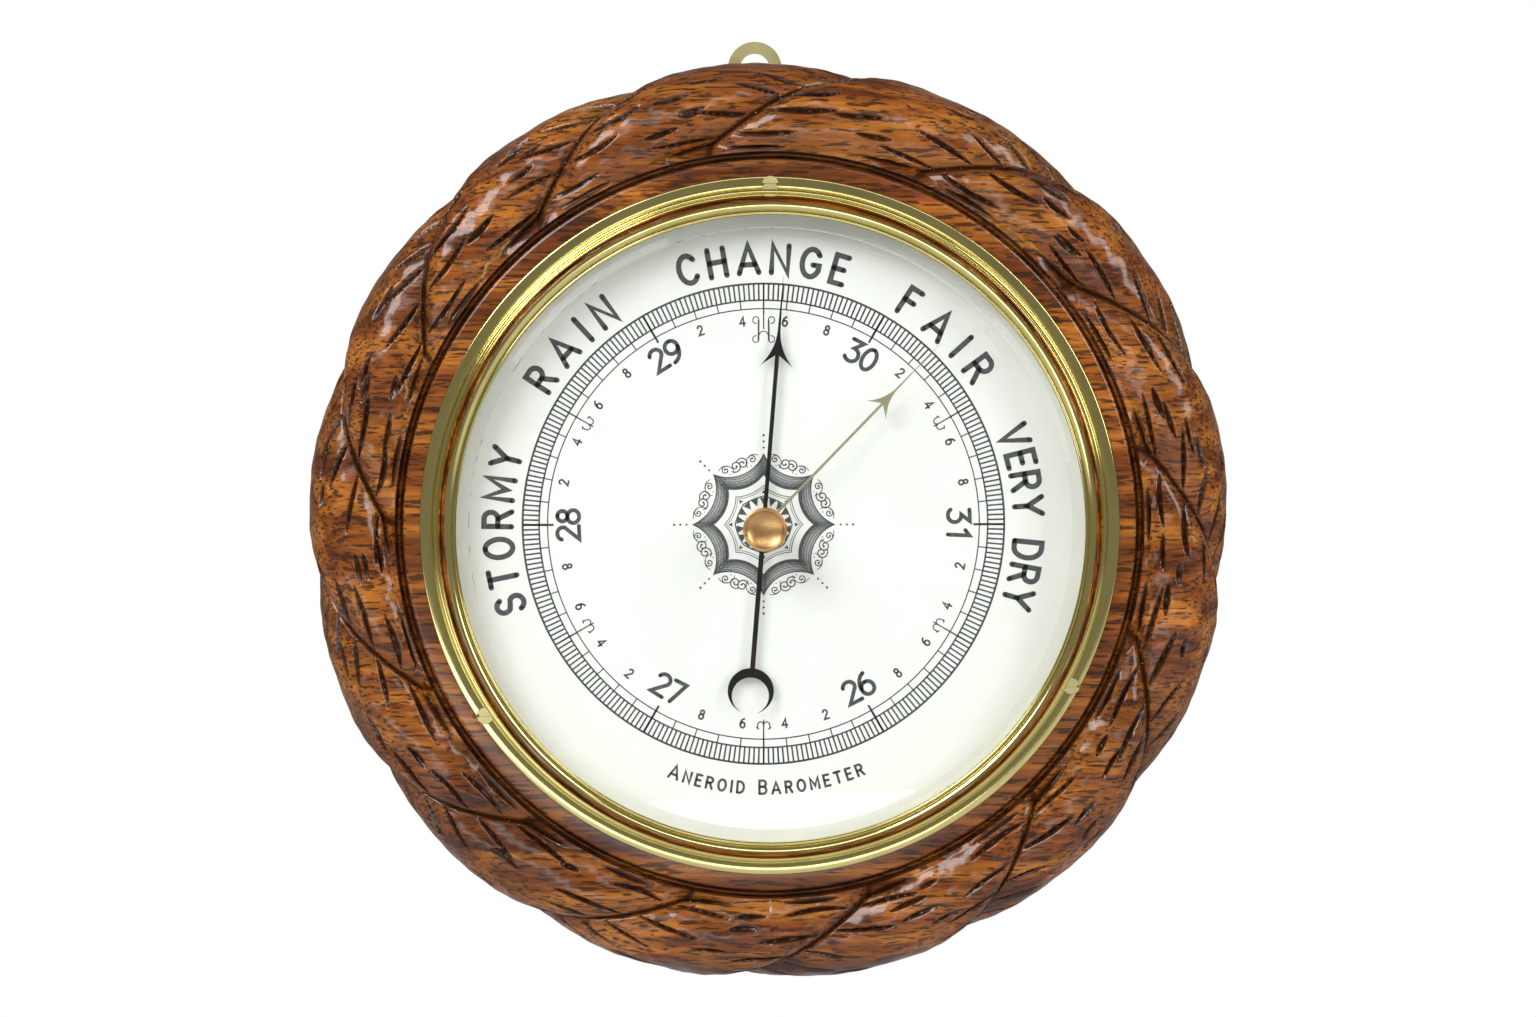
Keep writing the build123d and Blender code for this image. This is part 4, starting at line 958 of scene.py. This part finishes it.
def print_scale(dial):
    """The ring scale: hatching to a fiftieth of an inch, ticks to a tenth, figures and ornaments."""
    for radius, width in ((scale_outer, 0.5), (scale_hatch, 0.4), (scale_inner, 0.3)):
        dial.ring(radius, width)
    for step in range(300):
        dial.spoke(step * inch_turn / 50, scale_hatch, scale_outer, 0.42)
    for step in range(60):
        dial.spoke(step * inch_turn / 10, scale_inner, scale_hatch, 0.3)
    for inch, figures in enumerate(("30", "31", "26", "27", "28", "29")):
        angle = inch_turn / 2 + inch * inch_turn
        upside = -1 if 90 < angle < 270 else 1
        dial.spoke(angle, inch_tick, scale_outer, 0.55)
        dial.spoke(angle + inch_turn / 2, inch_tick, scale_outer, 0.36)
        spread = 0.66 * figure_spread * figure_height * math.degrees(1 / figure_middle) / 2
        middle = figure_middle - (flipped_inwards if upside < 0 else 0)
        for figure, side in zip(figures, (-1, 1)):
            turned = angle + upside * side * spread
            dial.glyph(figure, turned, middle, figure_height, figure_pen, upside, figure_spread)
        for fifth, figure in enumerate("2468", 1):
            small = angle + fifth * inch_turn / 5
            flip = -1 if 90 < small % 360 < 270 else 1
            dial.glyph(figure, small, small_middle + 0.4 * (flip - 1), small_height, 0.46, flip)
        if angle + inch_turn / 2 < 360:
            print_trident(dial, angle + inch_turn / 2)
    print_crest(dial)


def around(angle, radius, right, up):
    """A point given by its distance right of and out from a place on a circle."""
    across, outwards = polar(1, angle + 90), polar(1, angle)
    reach = radius + up
    return (arbor[0] + right * across[0] + reach * outwards[0],
            arbor[1] + right * across[1] + reach * outwards[1])


def print_trident(dial, angle):
    """The small forked ornament at a half inch."""
    foot = inch_tick - 3.2
    dial.strip([around(angle, foot, 0, 0), around(angle, foot, 0, 3.2)], 0.32)
    for side in (-1, 1):
        fork = [around(angle, foot, side * x, y) for x, y in bow(0.75, 1.3, 0.75, -0.9, -90, 90, 8)]
        dial.strip([*fork, around(angle, foot, side * 1.5, 2.1)], 0.3)
        dial.strip([around(angle, foot, side * 1.1, 2.2), around(angle, foot, side * 1.8, 1.8)], 0.24)


def print_crest(dial):
    """The taller scrolled ornament at the top of the scale."""
    foot = inch_tick - 6.8
    dial.strip([around(0, foot, 0, 3.4), around(0, foot, 0, 6.8)], 0.3)
    for side in (-1, 1):
        column = [(1.25, 0.7), (1.2, 5.4)]
        dial.strip([around(0, foot, side * x, y) for x, y in column], 0.42)
        for height, turn in ((5.5, 1), (0.9, -1)):
            curl = bow(1.9, height, 0.75, 0.8 * turn, -90, 190, 14)
            dial.strip([around(0, foot, side * x, y) for x, y in curl], 0.26)
        dial.strip([around(0, foot, side * x, y) for x, y in bow(0, 1.4, 1.2, 1.4, 0, 90, 8)], 0.26)


def print_words(dial):
    words = (
        ("STORMY", -109.6, -73.0),
        ("RAIN", -58.8, -34.6),
        ("CHANGE", -19.0, 18.5),
        ("FAIR", 31.4, 56.3),
        ("VERY DRY", 68.1, 108.7),
    )
    for text, first, last in words:
        dial.word(text, first, last, word_middle, [word_height] * len(text), 1.3)
    tall, short = title_heights
    title = "ANEROID BAROMETER"
    heights = [tall if index == 0 or title[index - 1] == " " else short for index in range(len(title))]
    dial.word(title, 201.0, 157.8, title_middle, heights, 0.6, upside=-1)


def star(points, tip, hollow, twist=0.0, steps=10):
    """A closed line of arcs that curve in between tips."""
    turn = 360 / points
    line = []
    for side in range(points):
        start = twist + side * turn
        line += arc(
            polar(tip, start, arbor),
            polar(hollow, start + turn / 2, arbor),
            polar(tip, start + turn, arbor),
            steps,
        )[:-1]
    return line + line[:1]


def curl(dial, angle, radius, size, first, turns, width):
    """A scroll that winds in from its own radius."""
    centre = polar(radius, angle, arbor)
    steps = 22
    line = []
    for step in range(steps + 1):
        share = step / steps
        line.append(polar(size * (1 - 0.78 * share), angle + first + turns * 360 * share, centre))
    dial.strip(line, width)
    dial.spot(line[-1], width * 0.9)


def print_scrolls(dial, middle):
    """The scrolls, swags and dots that fill one hollow of the rosette's band."""
    for side in (-1, 1):
        curl(dial, middle + side * 3.4, 15.7, 1.5, 90 - 150 * side, side * 1.35, 0.3)
        curl(dial, middle + side * 12.5, 16.1, 1.05, -60 * side, side * 1.25, 0.28)
        swag = arc(
            polar(17.0, middle + side * 17.5, arbor),
            polar(16.9, middle + side * 10.0, arbor),
            polar(14.3, middle + side * 7.0, arbor),
            8,
        )
        dial.strip(swag, 0.2)
        dial.spot(polar(14.6, middle + side * 10.5, arbor), 0.16)


def spike(dial, angle, tip, foot, half_turn):
    """A filled triangle along a radius. One that points inwards takes a negative half turn."""
    feet = [polar(foot, angle + side * half_turn, arbor) for side in (1, -1)]
    dial.patch([polar(tip, angle, arbor), *feet])


def print_rosette(dial):
    """The engraved rosette: a shaded band of eight hollow arcs, scrolls round it and stars within it."""
    outer_tip, outer_hollow = 17.1, 13.1
    inner_tip, inner_hollow = 12.3, 10.0
    for line, width in enumerate(band_lines):
        share = line / (len(band_lines) - 1)
        tip = outer_tip + (inner_tip - outer_tip) * share
        hollow = outer_hollow + (inner_hollow - outer_hollow) * share
        dial.strip(star(rosette_points, tip, hollow), width)
    for tip, hollow, width in inner_stars:
        dial.strip(star(rosette_points, tip, hollow), width)
    turn = 360 / rosette_points
    for tip in range(rosette_points):
        angle = tip * turn
        spike(dial, angle, 8.5, 7.6, 4)
        for dot in range(3):
            dial.spot(polar(18.7 + 1.5 * dot, angle, arbor), 0.27 + 0.02 * dot)
        print_scrolls(dial, angle + turn / 2)
    for petal in range(petals):
        spike(dial, petal * 360 / petals, 4.6, 6.6, -8)


def dial_print():
    """Everything printed on the dial, as one thin piece of ink just above it."""
    dial = Print(dial_front + ink_lift)
    print_scale(dial)
    print_words(dial)
    print_rosette(dial)
    new_piece("dial_print", dial.points, dial.faces, "root", ink)


# ---- main spring -----------------------------------------------------------------------
def main_spring():
    """The C-shaped spring between the bridge under it and the lever that it carries, copied as a piece of
    its own in place of the CAD node.
    """
    whole = frame["nodes"]["main_spring"]
    piece = bpy.data.objects.new("bending_main_spring", whole.data.copy())
    bpy.context.scene.collection.objects.link(piece)
    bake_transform(piece)
    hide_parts("main_spring")


# ---- edges of the flat pieces ----------------------------------------------------------
def soften(node, width):
    """A small round along the edges of a CAD node, which keeps its size."""
    bevel = frame["nodes"][node].modifiers.new("edge", "BEVEL")
    bevel.width = width * MM
    bevel.segments = 2
    bevel.limit_method = "ANGLE"
    bevel.angle_limit = math.radians(50)


# ---- camera, light and floor -----------------------------------------------------------
view_distance = 1.3
view_turn = 1.3
view_rise = 4.4
focal_length = 124.6
target = Vector((0, -0.017, 0))
# the object stands a little low in the picture, and a little to the right
aim = target + Vector((-0.0003, 0, 0.0037))


def camera():
    turn, rise = math.radians(view_turn), math.radians(view_rise)
    away = Vector((-math.sin(turn) * math.cos(rise), -math.cos(turn) * math.cos(rise), math.sin(rise)))
    lens = bpy.data.cameras.new("camera")
    lens.lens = focal_length
    lens.sensor_width = 36
    made = bpy.data.objects.new("camera", lens)
    made.location = target + view_distance * away
    made.rotation_euler = (aim - made.location).to_track_quat("-Z", "Y").to_euler()
    bpy.context.scene.collection.objects.link(made)
    bpy.context.scene.camera = made


def softbox(name, place, width, height, power, towards=(0, 0, 0)):
    light = bpy.data.lights.new(name, "AREA")
    light.shape = "RECTANGLE"
    light.size = width
    light.size_y = height
    light.energy = power
    made = bpy.data.objects.new(name, light)
    made.location = place
    made.rotation_euler = (Vector(towards) - Vector(place)).to_track_quat("-Z", "Y").to_euler()
    bpy.context.scene.collection.objects.link(made)


def world():
    """White behind the object, and a dim grey room for everything that it reflects."""
    sky = bpy.data.worlds.new("studio")
    sky.use_nodes = True
    tree = sky.node_tree
    seen = tree.nodes["Background"]
    seen.inputs["Color"].default_value = (1, 1, 1, 1)
    room = tree.nodes.new("ShaderNodeBackground")
    room.inputs["Color"].default_value = (0.93, 0.96, 1.0, 1)
    room.inputs["Strength"].default_value = 0.2
    dark = tree.nodes.new("ShaderNodeBackground")
    dark.inputs["Color"].default_value = (1.0, 0.95, 0.85, 1)
    dark.inputs["Strength"].default_value = 0.2
    path = tree.nodes.new("ShaderNodeLightPath")
    mirrored = tree.nodes.new("ShaderNodeMixShader")
    tree.links.new(path.outputs["Is Glossy Ray"], mirrored.inputs[0])
    tree.links.new(room.outputs[0], mirrored.inputs[1])
    tree.links.new(dark.outputs[0], mirrored.inputs[2])
    choice = tree.nodes.new("ShaderNodeMixShader")
    tree.links.new(path.outputs["Is Camera Ray"], choice.inputs[0])
    tree.links.new(mirrored.outputs[0], choice.inputs[1])
    tree.links.new(seen.outputs[0], choice.inputs[2])
    tree.links.new(choice.outputs[0], tree.nodes["World Output"].inputs["Surface"])
    bpy.context.scene.world = sky


def floor():
    """A pale floor under and in front of the barometer."""
    mesh = bpy.data.meshes.new("floor")
    left, right, near, far, height = -1.5, 1.5, -1.6, 0.5, -0.3
    corners = [(left, near, height), (right, near, height), (right, far, height), (left, far, height)]
    mesh.from_pydata(corners, [], [(0, 1, 2, 3)])
    paper = Finish("floor_paper", (0.8, 0.8, 0.79), 0.8)
    fibre = paper.noise((60, 60, 60), detail=3)
    paper.set(
        Base_Color=paper.ramp(fibre, (0.3, 0.76), (0.7, 0.82)),
        Normal=paper.bump(fibre, 0.0003, 0.3),
    )
    mesh.materials.append(paper.material)
    made = bpy.data.objects.new("floor", mesh)
    bpy.context.scene.collection.objects.link(made)


# ---- the whole -------------------------------------------------------------------------
finish_nodes()
carved_surround()
bezel()
glass()
knob()
dial_print()
main_spring()
soften("hanging_plate", 0.15)
soften("pressure_hand", 0.06)
soften("set_hand", 0.06)

camera()
world()
floor()
softbox("key", (-0.8, -1.05, 0.85), 0.75, 0.65, 11.5)
softbox("side", (0.95, -0.8, 0.55), 0.35, 0.9, 5.2)
softbox("front", (0.1, -1.6, 0.9), 1.2, 0.4, 3.2)
softbox("low", (-0.3, -0.9, -0.25), 0.9, 0.12, 0.7)
bpy.context.scene.view_settings.view_transform = "Standard"
